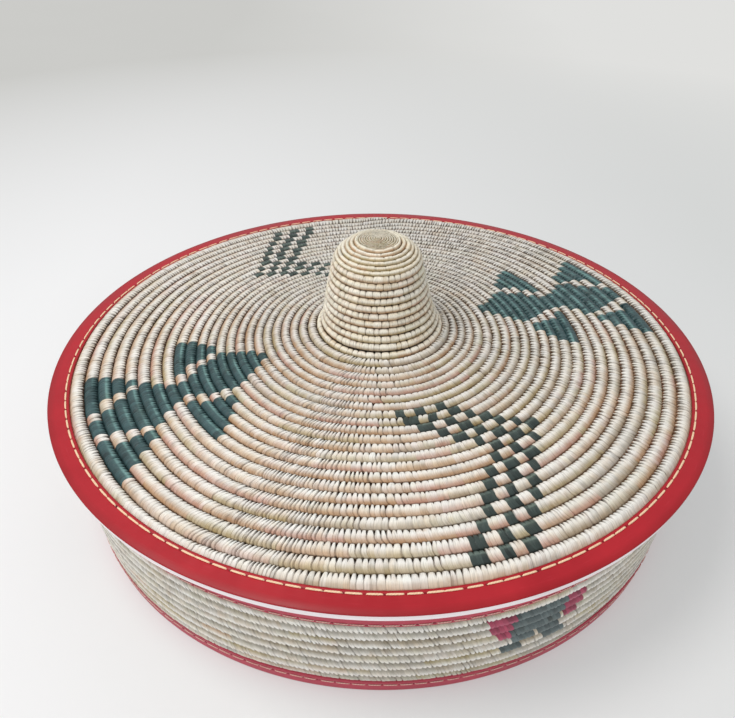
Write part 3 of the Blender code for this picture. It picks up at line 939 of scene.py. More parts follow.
def lid_swing(azimuth, place):
    """How far inwards the rows lie at any place between the band and the knob."""
    places = [LID_ROW_RADII[0] - radius for radius in (LID_ROW_RADII[0], *SWING_RADII, KNOB_ROOT)]
    columns = len(SWING_RADII)
    total = 0
    for column in range(columns):
        weights = np.zeros(columns + 2)
        weights[column + 1] = 1
        weights[0] = SWING_AT_BAND if column == 0 else 0
        weights[-1] = SWING_AT_ROOT if column == columns - 1 else 0
        total = total + np.interp(place, places, weights) * swing_column(azimuth, column)
    return total


def lid_dye(azimuth, row):
    """The dye of a wrap of the lid, or None. The first whole row by the band is row 1."""
    row = int(row) + 1
    if row in CHEVRON_STARTS:
        radius = LID_ROW_RADII[row]
        middle = (radius + LID_ROW_RADII[row + 1]) / 2
        cell = math.degrees(CHEVRON_CELL * min(1, middle / CHEVRON_FULL_RADIUS) / middle)
        for turn in CHEVRON_TURNS:
            cells = apart(azimuth, CHEVRON_STARTS[row] + turn) / cell
            if 0 <= cells < CHEVRON_CELLS and cells % 1 < CHEVRON_DARK_SHARE:
                return "charcoal"
    if row in ARROW_HALVES:
        middle, wing_from, wing_to = ARROW_HALVES[row]
        share = (row - ARROW_FIRST_ROW) / (ARROW_LAST_ROW - ARROW_FIRST_ROW)
        for first, last, width in ARROW_AXES:
            away = abs(apart(azimuth, first + (last - first) * share)) / width
            if away < middle or wing_from < away < wing_to:
                return "teal"
    return None


# Azimuth and reach in degrees of the lid's front, left, right and back colours
LID_REGIONS = ((355, 90), (275, 85), (70, 90), (180, 100))
# Every wrap takes at least this much of the front's colours
LEAST_FRONT_SHARE = 0.02
# How often a seam between dyed wraps is open, against the undyed ones
DYED_OPEN_SHARE = 0.3


def bump_at(azimuth, centre, reach):
    """1 at the centre, falling to 0 at this many degrees from it."""
    return np.clip(1 - np.abs(apart(azimuth, centre)) / reach, 0, 1)


def plateau(azimuth, centre, reach, gain):
    """The same bump made higher by the gain and cut flat at 1."""
    return np.clip(gain * bump_at(azimuth, centre, reach), 0, 1)


def region_shares(wraps):
    """How much each wrap takes of the front's, left's, right's and back's colours."""
    shares = [bump_at(wraps.azimuths, centre, reach) for centre, reach in LID_REGIONS]
    shares[0] = shares[0] + LEAST_FRONT_SHARE
    return shares


def lid_tightness(wraps):
    """1 where the rows look smooth: at the front right, mostly in the middle rows, and before the kink."""
    rows = smooth_step(wraps.rows, 0.5, 3.5)
    right = plateau(wraps.azimuths, 27, 34, 1.8) * (0.45 + 0.55 * rows)
    left = plateau(wraps.azimuths, 321, 16, 1.6) * 0.8
    return np.maximum(right, left)


def lid_squareness(wraps):
    """Straight tips at the front and the back, points at both sides."""
    return 0.95 - 0.85 * plateau(wraps.azimuths, 88, 62, 1.5) - 0.8 * bump_at(wraps.azimuths, 275, 60)


def lid_open_share(wraps, dyed):
    """Open, brick-like wraps at the front left and the back right, tight ones at the front right."""
    azimuth = wraps.azimuths
    share = 0.24 + 0.75 * bump_at(azimuth, 345, 36) + 0.50 * bump_at(azimuth, 148, 45)
    share += 0.30 * bump_at(azimuth, 95, 45) + 0.20 * bump_at(azimuth, 205, 40)
    share += 0.08 * along_noise(wraps.turned, 3)
    return share * np.where(dyed, DYED_OPEN_SHARE, 1.0) * (1 - lid_tightness(wraps))


def lid_light(wraps):
    """Painted shade makes the straw a little darker at the back, and painted light a little lighter at the
    front. It is also a little darker in the rows by the knob.
    """
    light = (1 - 0.15 * bump_at(wraps.azimuths, 180, 80)) * (1 - 0.09 * smooth_step(wraps.rows, 8, 16))
    light *= 1 + 0.05 * bump_at(wraps.azimuths, 352, 60)
    return light[:, None]


def lid_slant(wraps):
    """Wraps lean just before each kink of the rows."""
    azimuth = wraps.azimuths % 180
    slant = 0.05 + 0.50 * np.clip((azimuth - 112) / 40, 0, 1) * (azimuth < 153)
    slant = slant + 0.45 * bump_at(wraps.azimuths, 340, 14)
    return slant + 0.10 * along_noise(wraps.turned, 4, fastest=12.0)


def lid_pitch(turned):
    """Wraps are widest at the front."""
    wide = 1.3 * bump_at(turned, 2, 20) + 0.9 * bump_at(turned, 85, 50)
    return (2.9 + wide - 0.7 * bump_at(turned, 336, 12) + 0.2 * along_noise(turned, 5)) * MM


# How steeply the rows may rise again beside the leather that holds them down
BAND_CLEARING, BINDING_CLEARING, INNER_CLEARING = 1.7, 3.5, 1.6


def keep_under_band(radius, height):
    """Presses the outermost row under the leather band, and keeps it on what the lid rests on."""
    under = band_height(radius) - LEATHER - CLEARANCE
    ceiling = under + BAND_CLEARING * np.maximum(BAND_INNER - CLEARANCE - radius, 0)
    radius = np.minimum(radius, BAND_INNER + TONGUE)
    return radius, np.clip(height, LID_REST, ceiling)


LID_COIL = 8.5 * MM
# From this radius outwards the lid's coil reaches down to the plane that the lid rests on
LAND_INNER = seat_r.min() - 2.0 * MM


def lid_thickness(radius):
    """Full over most of the lid, and down to the resting plane near the rim."""
    full = crest_height(radius) - LID_REST
    return LID_COIL + (full - LID_COIL) * smooth_step(radius, LAND_INNER - LID_COIL, LAND_INNER)


LID_ROW_RADII = lid_row_radii()
# The last rows turn up towards the knob
FILLET, FILLET_RISE = 13 * MM, 1.6 * MM


def make_lid_coil(material):
    slope_length = math.hypot(1, LID_SLOPE)
    start = LID_ROW_RADII[0]
    radii = np.append(start, np.linspace(KNOB_ROOT + FILLET, LID_ROW_RADII[-1], 12))
    rise = FILLET_RISE * np.clip((KNOB_ROOT + FILLET - radii) / FILLET, 0, 1.5) ** 2
    surface = Surface(np.stack([radii, crest_height(radii) + rise], -1))
    places = (start - LID_ROW_RADII) * slope_length
    last_turn = 360 * (LID_ROWS - 1) + STEP_START + 0.55 * (STEP_END - STEP_START)
    path = Path(surface, places, -1, stepped, lid_swing, -360.0, last_turn)
    wraps = Wraps(path, 11, lid_pitch, uneven=0.28)
    mixes = (FRONT_MIX, LEFT_MIX, RIGHT_MIX, BACK_MIX)
    straw = straw_colours(wraps, region_shares(wraps), mixes, lid_dye, light=lid_light(wraps))
    section = Section(COIL_ANGLES, 1)
    right = plateau(wraps.azimuths, 85, 60, 1.5)
    # The painted shade between rows is lighter at the right and darker at the front
    straw.deep_shade *= (1 + 1.1 * right - 0.65 * bump_at(wraps.azimuths, 345, 75))[:, None]
    front = bump_at(wraps.azimuths, 348, 50)
    tooth = (1 + 0.6 * right + 0.35 * front) * (1 - 0.7 * lid_tightness(wraps))
    square = lid_squareness(wraps)
    lay = Lay(wraps, lid_open_share(wraps, straw.dyed), lid_slant(wraps), tooth=tooth, square=square)
    home = (material, "lid", "lid_straw", "lid_disc_coil")
    build_coil("lid_coil", wraps, 6, section, lid_thickness, straw, lay, keep_under_band, home)


# The knob

# Its outer face from root to top, as shares of its root's radius and of its rise
KNOB_PROFILE_SHARES = (
    (1.000, 0.000), (0.930, 0.051), (0.878, 0.133), (0.830, 0.231), (0.790, 0.361), (0.740, 0.517),
    (0.705, 0.626), (0.678, 0.721), (0.635, 0.806), (0.555, 0.872), (0.465, 0.920), (0.350, 0.955),
    (0.273, 0.971), (0.000, 0.986),
)
KNOB_ROW = 5.8 * MM
KNOB_COIL = 6.5 * MM
KNOB_WRAP = 5.5 * MM
# The dome's rows are narrower: this many take the length of a few of the wall's
DOME_ROWS, DOME_LENGTH_IN_ROWS = 6, 4
KNOB_LEAN, KNOB_LEAN_HEIGHT = 2.2 * MM, 35 * MM
CAP_RADIUS = cap_r.max()
CAP_ROW = 1.7 * MM
CAP_WRAP = 1.0 * MM
CAP_COIL = 2.6 * MM
# The coil's last stretch, in degrees, where the painted shade between its rows is paler
BY_CAP, BY_CAP_SHADE = 400, 0.7


def knob_surface():
    low, high = crest_height(KNOB_ROOT), cap_z.max()
    points = [(KNOB_ROOT * radius, low + (high - low) * rise) for radius, rise in KNOB_PROFILE_SHARES]
    return rounded_curve(points, 0.5 * MM)


KNOB_LENGTH = Surface(knob_surface()).length


def knob_swing(azimuth, place):
    """The first rows follow the lid's last ones, and the dome's rows are kinked outwards at the front."""
    root = SWING_AT_ROOT * swing_column(azimuth, len(SWING_RADII) - 1)
    root = root * np.clip(1 - place / (2.5 * KNOB_ROW), 0, 1)
    dome = smooth_step(place, KNOB_LENGTH * 0.7, KNOB_LENGTH)
    return root - 1.0 * MM * dome * bump_at(azimuth, 2, 30) - 0.6 * MM * dome * bump_at(azimuth, 250, 40)


def knob_bend(grid):
    """The knob leans a little to the left, as the hand-made one does."""
    low = crest_height(KNOB_ROOT)
    grid[..., 0] -= KNOB_LEAN * smooth_step(grid[..., 2], low, low + KNOB_LEAN_HEIGHT)
    return grid


def no_limit(radius, height):
    return radius, height


def still(azimuth, place):
    return 0 * place


def even(thickness):
    """A coil that is as thick at every radius."""
    return lambda radius: thickness + 0 * radius


def make_knob(material):
    profile = knob_surface()
    surface = Surface(profile[profile[:, 0] >= CAP_RADIUS])
    wall_rows = round(surface.length / KNOB_ROW) - DOME_LENGTH_IN_ROWS
    row = surface.length / (wall_rows + DOME_LENGTH_IN_ROWS)
    dome_places = np.linspace(wall_rows * row, surface.length, DOME_ROWS + 1)
    places = np.concatenate([np.arange(-1, wall_rows) * row, dome_places])
    last_turn = 360 * (wall_rows + DOME_ROWS - 1) + (CLIMB_START + CLIMB_END) / 2
    path = Path(surface, places, -1, climbing, knob_swing, -360.0, last_turn)

    def pitch(turned):
        long = 0.5 * smooth_step(turned / 360, wall_rows - 1, wall_rows)
        return KNOB_WRAP * (1 + long + 0.10 * along_noise(turned, 6))

    wraps = Wraps(path, 12, pitch, uneven=0.30)
    on_dome = smooth_step(wraps.turned / 360, wall_rows - 1, wall_rows - 0.5)
    shares, mixes = [1 - on_dome, on_dome], (KNOB_MIX, DOME_MIX)
    straw = straw_colours(wraps, shares, mixes, strands_of=(2, 6), light=KNOB_LIGHT, deep_shade=KNOB_DEEP_SHADE)
    by_cap = wraps.turned > last_turn - BY_CAP
    straw.deep_shade[by_cap] = straw.body[by_cap] * BY_CAP_SHADE
    section = Section(COIL_ANGLES, 1, tilt=0.08, deep_shade=(44, 64), shade=(50, 68), crest=10)
    open_share, tooth = 0.75 - 0.70 * on_dome, 0.28 - 0.12 * on_dome
    lay = Lay(wraps, open_share, 0.05, twist=0.15, pinch=0.02, tooth=tooth, square=0.95, opening=0.6)
    home = (material, "lid", "knob_straw", "lid_knob_coil")
    build_coil("knob_coil", wraps, 1, section, even(KNOB_COIL), straw, lay, no_limit, home, knob_bend)


def make_knob_cap(material):
    profile = knob_surface()
    surface = Surface(profile[profile[:, 0] <= CAP_RADIUS + CAP_ROW])
    rows = round(surface.length / CAP_ROW)
    places = np.arange(-1, rows + 1) * surface.length / rows
    path = Path(surface, places, -1, steady, still, -220.0, 360 * (rows - 1) + 200, overlap=1.15)
    wraps = Wraps(path, 13, lambda turned: CAP_WRAP)
    straw = straw_colours(wraps, [np.ones(wraps.count)], (DOME_MIX,), light=CAP_LIGHT_SHARE * KNOB_LIGHT)
    section = Section(COIL_ANGLES, 1)
    lay = Lay(wraps, 0.0, 0.1, twist=0.1, tooth=0.15)
    home = (material, "lid", "knob_straw", "lid_knob_cap")
    build_coil("knob_cap_coil", wraps, 1, section, even(CAP_COIL), straw, lay, no_limit, home, knob_bend)


# The base

# The leather's edges on the wall, as sewn
RIM_LOWER = RIM_EDGE - 1.5 * MM
FOOT_UPPER = FOOT_EDGE - 0.8 * MM

BASE_VISIBLE_ROWS = 8
BASE_HIDDEN_ROWS_ABOVE = 2
BASE_ROW = 8.52 * MM
BASE_FIRST_ROW = 9.7 * MM
BASE_WRAP = 2.9 * MM
FLOOR_ROW = 8.2 * MM
FLOOR_WRAP = 4.2 * MM
FLOOR_COIL = floor_z.max() - floor_z.min()
SEAT_COIL = 6.0 * MM
SEAT_WRAP = 3.4 * MM
SEAT_ROWS = 2

# How far the wall's rows swing upwards, in millimetres, over half a turn
BASE_SWING = ((0, 0.8), (20, 0.1), (45, -0.5), (90, -0.3), (140, 0.0), (158, 0.6), (168, 1.3), (180, 0.8))

# The wall's figure: degrees from its middle line, by row from the rim binding down
FIGURE_AZIMUTHS = (23.9, 113.9, 203.9, 293.9)
FIGURE_SLATE = {2: (0.2, 4.3), 3: (0.2, 4.3), 4: (0.2, 4.3), 5: (0.2, 4.3), 6: (1.9, 5.9)}
FIGURE_MAGENTA = {2: (4.5, 8.3), 3: (4.5, 8.3), 4: (4.5, 7.0)}


def base_swing(azimuth, place):
    table = np.array(BASE_SWING)
    return np.interp(azimuth % 180, table[:, 0], table[:, 1]) * MM + 0 * place


def base_dye(azimuth, row):
    row = BASE_VISIBLE_ROWS + 1 - int(row)
    for centre in FIGURE_AZIMUTHS:
        away = abs(apart(azimuth, centre))
        for dye, rows in (("slate", FIGURE_SLATE), ("magenta", FIGURE_MAGENTA)):
            if row in rows and rows[row][0] <= away < rows[row][1]:
                return dye
    return None


def keep_under_bindings(radius, height):
    """Presses the wall's coil under both bindings, on both sides of the wall."""
    into_rows = np.minimum(RIM_LOWER - CLEARANCE - height, height - FOOT_UPPER)
    covered = BINDING_CLEARING * np.maximum(into_rows, 0)
    inner_covered = INNER_CLEARING * np.maximum(RIM_LOWER - CLEARANCE - height, 0)
    outer = base_outer(height) - RECESS + covered
    inner = base_inner(height) + RECESS - inner_covered
    height = np.clip(height, RECESS, BASE_TOP - RECESS)
    return np.clip(radius, inner, outer), height


def make_base_coil(material):
    low, high = RECESS, BASE_TOP - RECESS
    surface = Surface([(base_outer(low), low), (base_outer(high), high)])
    stretch = surface.length / (high - low)
    top_edge = RIM_LOWER + CLEARANCE
    edges = top_edge - BASE_FIRST_ROW - BASE_ROW * np.arange(BASE_VISIBLE_ROWS)[::-1]
    heights = [low, *edges, *np.linspace(top_edge, high, BASE_HIDDEN_ROWS_ABOVE + 1)]
    places = (np.array(heights) - low) * stretch
    last = 360 * (len(heights) - 2) + STEP_START
    path = Path(surface, places, 0, stepped, base_swing, -180.0, last)
    wraps = Wraps(path, 14, lambda turned: BASE_WRAP * (1 + 0.06 * along_noise(turned, 8)), uneven=0.25)
    ones = np.ones(wraps.count)
    light = base_light(wraps)
    tones = {"deep_shade": BASE_DEEP_SHADE, "browning_and_shade": 0.85, "flank_tint": GREY}
    straw = straw_colours(wraps, [ones], (BASE_MIX,), base_dye, light=light, **tones)
    slant = -0.45 + 0.25 * bump_at(wraps.azimuths, 40, 40)
    section = Section(LIGHT_ANGLES, -1, tilt=0.12, deep_shade=(46, 62), shade=(50, 66), crest=14)
    smooth = plateau(wraps.azimuths, 36, 42, 1.6)
    open_share = 0.25 + 0.10 * along_noise(wraps.turned, 9)
    open_share = open_share * np.where(straw.dyed, DYED_OPEN_SHARE, 1.0)
    open_share = open_share * (1 - 0.7 * smooth)
    lay = Lay(wraps, open_share, slant, twist=-0.5, tooth=1.3 - smooth, square=0.35, opening=0.8)
    home = (material, "base", "base_straw", "base_wall_coil")
    build_coil("base_wall", wraps, 4, section, even(WALL), straw, lay, keep_under_bindings, home)


def base_light(wraps):
    """Painted shade: the wall's straw is darkest at its right side, away from the light."""
    return (1.06 - 0.17 * bump_at(wraps.azimuths, 78, 45))[:, None]


def make_base_floor(material):
    top = floor_z.max()
    surface = Surface([(floor_r.max(), top), (0.0, top)])
    rows = round(floor_r.max() / FLOOR_ROW)
    places = np.arange(-1, rows + 1) * surface.length / rows
    path = Path(surface, places, -1, steady, still, -360.0, 360 * (rows - 1) + 240)
    wraps = Wraps(path, 15, lambda turned: FLOOR_WRAP)
    straw = inner_straw(wraps)

    def limit(radius, height):
        return np.minimum(radius, floor_r.max()), np.clip(height, floor_z.min(), top)

    section = Section(LIGHT_ANGLES, 1)
    lay = Lay(wraps, 0.3, 0.12)
    home = (material, "base", "base_straw", "base_floor_coil")
    build_coil("base_floor", wraps, 3, section, even(FLOOR_COIL), straw, lay, limit, home)


def make_seat_ring(material):
    low, high = seat_z.min(), seat_z.max()
    surface = Surface([(seat_r.max() - BASE_SLOPE * (high - low), low), (seat_r.max(), high)])
    places = np.linspace(0, surface.length, SEAT_ROWS + 1)
    path = Path(surface, places, 0, stepped, still, -180.0, 360 * SEAT_ROWS - 180.0)
    wraps = Wraps(path, 16, lambda turned: SEAT_WRAP)
    straw = inner_straw(wraps)

    def limit(radius, height):
        return np.clip(radius, seat_r.min(), seat_r.max()), np.clip(height, low, high)

    section = Section(LIGHT_ANGLES, 1)
    lay = Lay(wraps, 0.3, 0.12)
    home = (material, "lid", "lid_straw", "lid_seat_ring")
    build_coil("lid_seat_coil", wraps, 1, section, even(SEAT_COIL), straw, lay, limit, home)


# Stitched leather

FINE_SPOTS = (-3.0, -2.0, -1.4, -1.0, -0.7, -0.35, 0.0, 0.35, 0.7, 1.0, 1.4, 2.0, 3.0)
COARSE_STEP = 5.0 * MM
LEAST_STEP = 0.15 * MM
EDGE_ROUNDING = 0.6 * MM
ROUNDING_STEPS = 2
# The mark of a point that isn't on the outer face, in lengths of that face
PAST_END = 10


def thinned(places):
    """The places in order, without those that are too close to the one before."""
    kept = []
    for place in np.sort(places):
        if not kept or place - kept[-1] > LEAST_STEP:
            kept.append(place)
    return np.array(kept)


def square_to(direction, aim):
    """The direction at a right angle to this one, on the side of the aim."""
    side = np.array([-direction[1], direction[0]])
    return side if np.dot(side, aim) > 0 else -side


def strip_outline(face, thickness, seam_place):
    """A closed outline for a strip: its outer face's smooth line, then its inner face back, with round ends.

    Returns the outline, its outward directions, and each point's place along the outer face, or a place
    past its end for the other points.
    """
    run = Surface(face)
    edge = min(EDGE_ROUNDING, thickness / 2)
    steps = np.arange(edge, run.length - edge, COARSE_STEP)
    fine = seam_place + np.array(FINE_SPOTS) * MM
    steps = steps[(steps < fine[0]) | (steps > fine[-1])]
    ends = np.array([edge, run.length - edge])

    def inside(places):
        places = np.concatenate(places)
        between = (places > edge + LEAST_STEP) & (places < ends[1] - LEAST_STEP)
        return thinned(np.append(places[between], ends))

    def points_at(places):
        radius, height, along_r, along_z = run.at(places)
        return np.stack([radius, height], -1), np.stack([along_z, -along_r], -1)

    outer_places = inside([steps, fine, run.places])
    outer, outward = points_at(outer_places)
    under, under_out = points_at(inside([run.places, steps[::2]])[::-1])
    inner = under - under_out * thickness
    points, directions, marks = [], [], []

    def add(point, direction, mark):
        points.append(point)
        directions.append(direction)
        marks.append(mark)

    def corner(centre, start, end, mark):
        for step in range(ROUNDING_STEPS + 1):
            turn = step / ROUNDING_STEPS * math.pi / 2
            direction = start * math.cos(turn) + end * math.sin(turn)
            add(centre + direction * edge, direction, mark)

    first_out, last_out = outward[0], outward[-1]
    start_out = square_to(first_out, outer[0] - outer[1])
    end_out = square_to(last_out, outer[-1] - outer[-2])
    far = run.length * PAST_END
    corner(outer[0] - first_out * edge, start_out, first_out, 0.0)
    for point, direction, place in zip(outer[1:-1], outward[1:-1], outer_places[1:-1]):
        add(point, direction, place)
    corner(outer[-1] - last_out * edge, last_out, end_out, run.length)
    corner(inner[0] + last_out * edge, end_out, -last_out, far)
    for point, direction in zip(inner[1:-1], -under_out[1:-1]):
        add(point, direction, far)
    corner(inner[-1] + first_out * edge, -first_out, start_out, far)
    return np.array(points), np.array(directions), np.array(marks)


STITCH_COLUMNS = 10
DASH_SHARE = 0.435
HOLE_DEPTH, BED_DEPTH = 0.75 * MM, 0.22 * MM
# Painted shade in the stitch holes
HOLE_SHADE = np.array([0.14, 0.09, 0.09])
# Places from a dash's middle, where 1 is its end, and distances from the seam's line
HOLE_PLACE, HOLE_LENGTH, HOLE_REACH = 1.12, 0.12, 0.65 * MM
BED_FROM, BED_FULL, BED_REACH = -1.0, -0.8, 0.6 * MM
PUCKER, PUCKER_REACH = 0.10 * MM, 3 * MM
WAVE_REACH, EDGE_REACH = 2 * MM, 0.7 * MM
# Painted shade along the leather strips' edges
LID_EDGE_SHADE, BASE_EDGE_SHADE = np.array([0.78, 0.66, 0.66]), np.array([0.8, 0.7, 0.7])


class Seam:
    """A running stitch: its count, and how far its dashes wander."""

    def __init__(self, stitches, seed):
        random = np.random.default_rng(seed)
        self.stitches = stitches
        self.shift = random.uniform(-0.07, 0.07, stitches)
        self.reach = DASH_SHARE * random.uniform(0.92, 1.08, stitches)

    def columns(self):
        return self.stitches * STITCH_COLUMNS

    def from_middle(self, turns):
        """Distance from the nearest dash's middle, where 1 is its end. turns is 0 to 1 round the ring."""
        place = turns * self.stitches
        number = np.floor(place).astype(int) % self.stitches
        return np.abs(place % 1 - 0.5 - self.shift[number]) / self.reach[number]


def stitched_strip(name, face, thickness, seam, seam_place, wave, edge_shade):
    """A ring of leather strip, dented at the holes and along the thread, and its edges a little uneven. Its
    tint is painted shade in the holes and along its edges.
    """
    outline, outward, marks = strip_outline(face, thickness, seam_place)
    columns = seam.columns()
    turns = np.arange(columns) / columns
    from_middle = seam.from_middle(turns)[:, None]
    away = (marks - seam_place)[None, :]
    holes = fading(from_middle - HOLE_PLACE, HOLE_LENGTH) * fading(away, HOLE_REACH)
    bed = smooth_step(-from_middle, BED_FROM, BED_FULL) * fading(away, BED_REACH)
    pucker = PUCKER * np.cos(turns * seam.stitches * math.tau)[:, None] * fading(away, PUCKER_REACH)
    azimuth = turns * math.tau
    wavy = wave(azimuth)[:, None] * fading(marks, WAVE_REACH)[None, :]
    push = -HOLE_DEPTH * holes - BED_DEPTH * bed + pucker * (marks < marks.max())[None, :]
    along = np.stack([outward[:, 1], -outward[:, 0]], -1)
    radius = outline[None, :, 0] + outward[None, :, 0] * push + along[None, :, 0] * wavy
    height = outline[None, :, 1] + outward[None, :, 1] * push + along[None, :, 1] * wavy
    grid = round_points(radius, height, azimuth[:, None])
    hole_shade = np.clip(holes * 1.1, 0, 1)[..., None]
    to_edge = np.minimum(marks, np.abs(marks.max() / PAST_END - marks))
    edge = fading(to_edge, EDGE_REACH)[None, :, None]
    tints = (1 - hole_shade * (1 - HOLE_SHADE)) * (1 - edge * (1 - edge_shade))
    widths = outline_widths(outline)
    lengths = np.linspace(0, math.tau * outline[:, 0].mean(), columns + 1)
    return add_mesh(name, grid, True, lengths, widths, tints)


THREAD_SIDES = 8
THREAD_RISE, THREAD_DIVE = 0.20 * MM, 1.0 * MM
LID_THREAD, BASE_THREAD = 1.40 * MM, 0.85 * MM
THREAD_HEIGHT_SHARE = 0.7
LID_THREAD_SLACK = 0.5 * MM


def stitch_thread(name, radius, height, outward, seam, width, slack=0.0):
    """One thread round the ring, over the leather in dashes and under it between them.

    slack is how much deeper its dashes lie at the back.
    """
    columns = seam.columns() * 2
    turns = np.arange(columns) / columns
    over = smooth_step(-seam.from_middle(turns), -1.10, -0.86)
    rise = -THREAD_DIVE + (THREAD_RISE + THREAD_DIVE - slack * bump_at(turns * 360, 180, 70)) * over
    angles = np.arange(THREAD_SIDES) * math.tau / THREAD_SIDES
    slim = 0.65 + 0.35 * np.clip(1 - seam.from_middle(turns)[:, None] ** 4, 0, 1)
    up = rise[:, None] + np.sin(angles)[None, :] * slim * width * THREAD_HEIGHT_SHARE / 2
    across = np.cos(angles)[None, :] * slim * width / 2
    grid = round_points(
        radius + outward[0] * up + outward[1] * across,
        height + outward[1] * up - outward[0] * across,
        (turns * math.tau)[:, None],
    )
    lengths = np.linspace(0, math.tau * radius, columns + 1)
    widths = np.linspace(0, math.pi * width, THREAD_SIDES + 1)
    return add_mesh(name, grid, True, lengths, widths)


def ripple(seed, size, slowest, fastest, waves=6):
    """A closed wavy line round the ring."""
    random = np.random.default_rng(seed)
    rates = random.integers(slowest, fastest, waves)
    phases = random.uniform(0, math.tau, waves)
    return lambda azimuth: size * np.cos(azimuth[:, None] * rates + phases).sum(-1) / math.sqrt(waves)


def strip_wave(seed):
    """The wave of a leather strip's edge."""
    return ripple(seed, 0.12 * MM, 3, 20)


LID_STITCHES, RIM_STITCHES, FOOT_STITCHES = 132, 154, 146
LID_SEAM_INSET, RIM_SEAM_INSET, FOOT_SEAM_INSET = 2.6 * MM, 2.2 * MM, 3.5 * MM
# The radius of the bindings' bends
BEND = 1.6 * MM


def slope_outward(slope_r, slope_z):
    size = math.hypot(slope_r, slope_z)
    return slope_z / size, -slope_r / size


def make_lid_band(leather, thread):
    inner, outer = BAND_INNER, LID_RADIUS
    face = [(inner, band_height(inner)), (outer, band_height(outer))][::-1]
    seam = Seam(LID_STITCHES, 21)
    length = math.hypot(1, LID_SLOPE)
    place = (outer - inner - LID_SEAM_INSET) * length
    strip = stitched_strip("lid_band", face, LEATHER, seam, place, strip_wave(31), LID_EDGE_SHADE)
    finish_piece(strip, leather, "lid", "lid_leather", "lid_rim_leather")
    radius = inner + LID_SEAM_INSET
    outward = slope_outward(-1, LID_SLOPE)
    height = band_height(radius)
    line = stitch_thread("lid_band_thread", radius, height, outward, seam, LID_THREAD, LID_THREAD_SLACK)
    finish_piece(line, thread, "lid", "thread", "lid_rim_thread")


def bind_base(edge_name, face, seam, place, height, wave_seed, leather, thread):
    """One of the base's two bindings, and its thread at this height."""
    name = edge_name + "_binding"
    strip = stitched_strip(name, face, LEATHER, seam, place, strip_wave(wave_seed), BASE_EDGE_SHADE)
    finish_piece(strip, leather, "base", "base_leather", "base_" + name)
    name = edge_name + "_thread"
    outward = slope_outward(BASE_SLOPE, 1)
    line = stitch_thread(name, base_outer(height), height, outward, seam, BASE_THREAD)
    finish_piece(line, thread, "base", "thread", "base_" + name)


def make_rim_binding(leather, thread):
    edge, shoulder = RIM_LOWER, BASE_TOP - BEND
    face = [(base_outer(edge), edge), (base_outer(shoulder), shoulder)]
    face += bend_points(base_outer(shoulder) - BEND, shoulder, BEND, 0, 90)
    face += bend_points(base_inner(shoulder) + BEND, shoulder, BEND, 90, 180)
    face += [(base_inner(edge), edge)]
    seam = Seam(RIM_STITCHES, 22)
    bind_base("rim", face, seam, RIM_SEAM_INSET, edge + RIM_SEAM_INSET, 32, leather, thread)


def make_foot_binding(leather, thread):
    face = [(foot_r.min(), 0.0)]
    face += bend_points(base_outer(0) - BEND, BEND, BEND, -90, 0)
    face += [(base_outer(FOOT_UPPER), FOOT_UPPER)]
    place = Surface(face).length - FOOT_SEAM_INSET
    seam = Seam(FOOT_STITCHES, 23)
    bind_base("foot", face, seam, place, FOOT_UPPER - FOOT_SEAM_INSET, 33, leather, thread)


def bend_points(radius, height, bend, start, end, steps=5):
    """An arc round a point, by angles from straight out, upwards positive."""
    angles = np.radians(np.linspace(start, end, steps + 1))
    return [(radius + bend * math.cos(angle), height + bend * math.sin(angle)) for angle in angles]


BOARD_DROP = 1.1 * MM
BOARD_ROUNDING = 0.5 * MM
BOARD_COLUMNS = 360


def make_board(material):
    """The white ring under the band, with softened edges."""
    inner, outer = board_r.min(), board_r.max()
    top_inner, top_outer = band_height(inner) - RECESS, band_height(outer) - RECESS
    outline = [(inner, top_inner)]
    outline += bend_points(outer - BOARD_ROUNDING, top_outer - BOARD_ROUNDING, BOARD_ROUNDING, 90, 0, 4)
    bend_height = LID_REST - BOARD_DROP + BOARD_ROUNDING
    outline += bend_points(outer - BOARD_ROUNDING, bend_height, BOARD_ROUNDING, 0, -90, 4)
    outline += [(rim_r.max() + BOARD_DROP, LID_REST), (inner, LID_REST)]
    outline = np.array(outline)
    azimuth = np.arange(BOARD_COLUMNS) * math.tau / BOARD_COLUMNS
    wobble = ripple(41, 0.12 * MM, 3, 14)(azimuth)[:, None]
    near_edge = (outline[:, 0] > outer - 2 * BOARD_ROUNDING)[None, :]
    radius = outline[None, :, 0] - np.abs(wobble) * near_edge
    grid = round_points(radius, outline[None, :, 1], azimuth[:, None])
    widths = outline_widths(outline)
    lengths = np.linspace(0, math.tau * outer, BOARD_COLUMNS + 1)
    piece = add_mesh("lid_board", grid, True, lengths, widths)
    piece.data.set_sharp_from_angle(angle=math.radians(40))
    finish_piece(piece, material, "lid", "board", "lid_rim_board")


# Stage, lights and camera

CAMERA_PLACE = (-0.0095, -0.5195, 0.4624)
CAMERA_PITCH = 35.471
CAMERA_ROLL = 0.113
IMAGE_WIDTH = 735
FOCAL_PIXELS = 800.0
SENSOR_WIDTH = 36.0


def add_camera():
    data = bpy.data.cameras.new("camera")
    data.sensor_fit = "HORIZONTAL"
    data.sensor_width = SENSOR_WIDTH
    data.lens = FOCAL_PIXELS / IMAGE_WIDTH * SENSOR_WIDTH
    data.clip_start = 0.01
    camera = bpy.data.objects.new("camera", data)
    bpy.context.scene.collection.objects.link(camera)
    camera.location = CAMERA_PLACE
    camera.rotation_mode = "ZYX"
    camera.rotation_euler = (math.radians(90 - CAMERA_PITCH), 0, math.radians(CAMERA_ROLL))
    bpy.context.scene.camera = camera


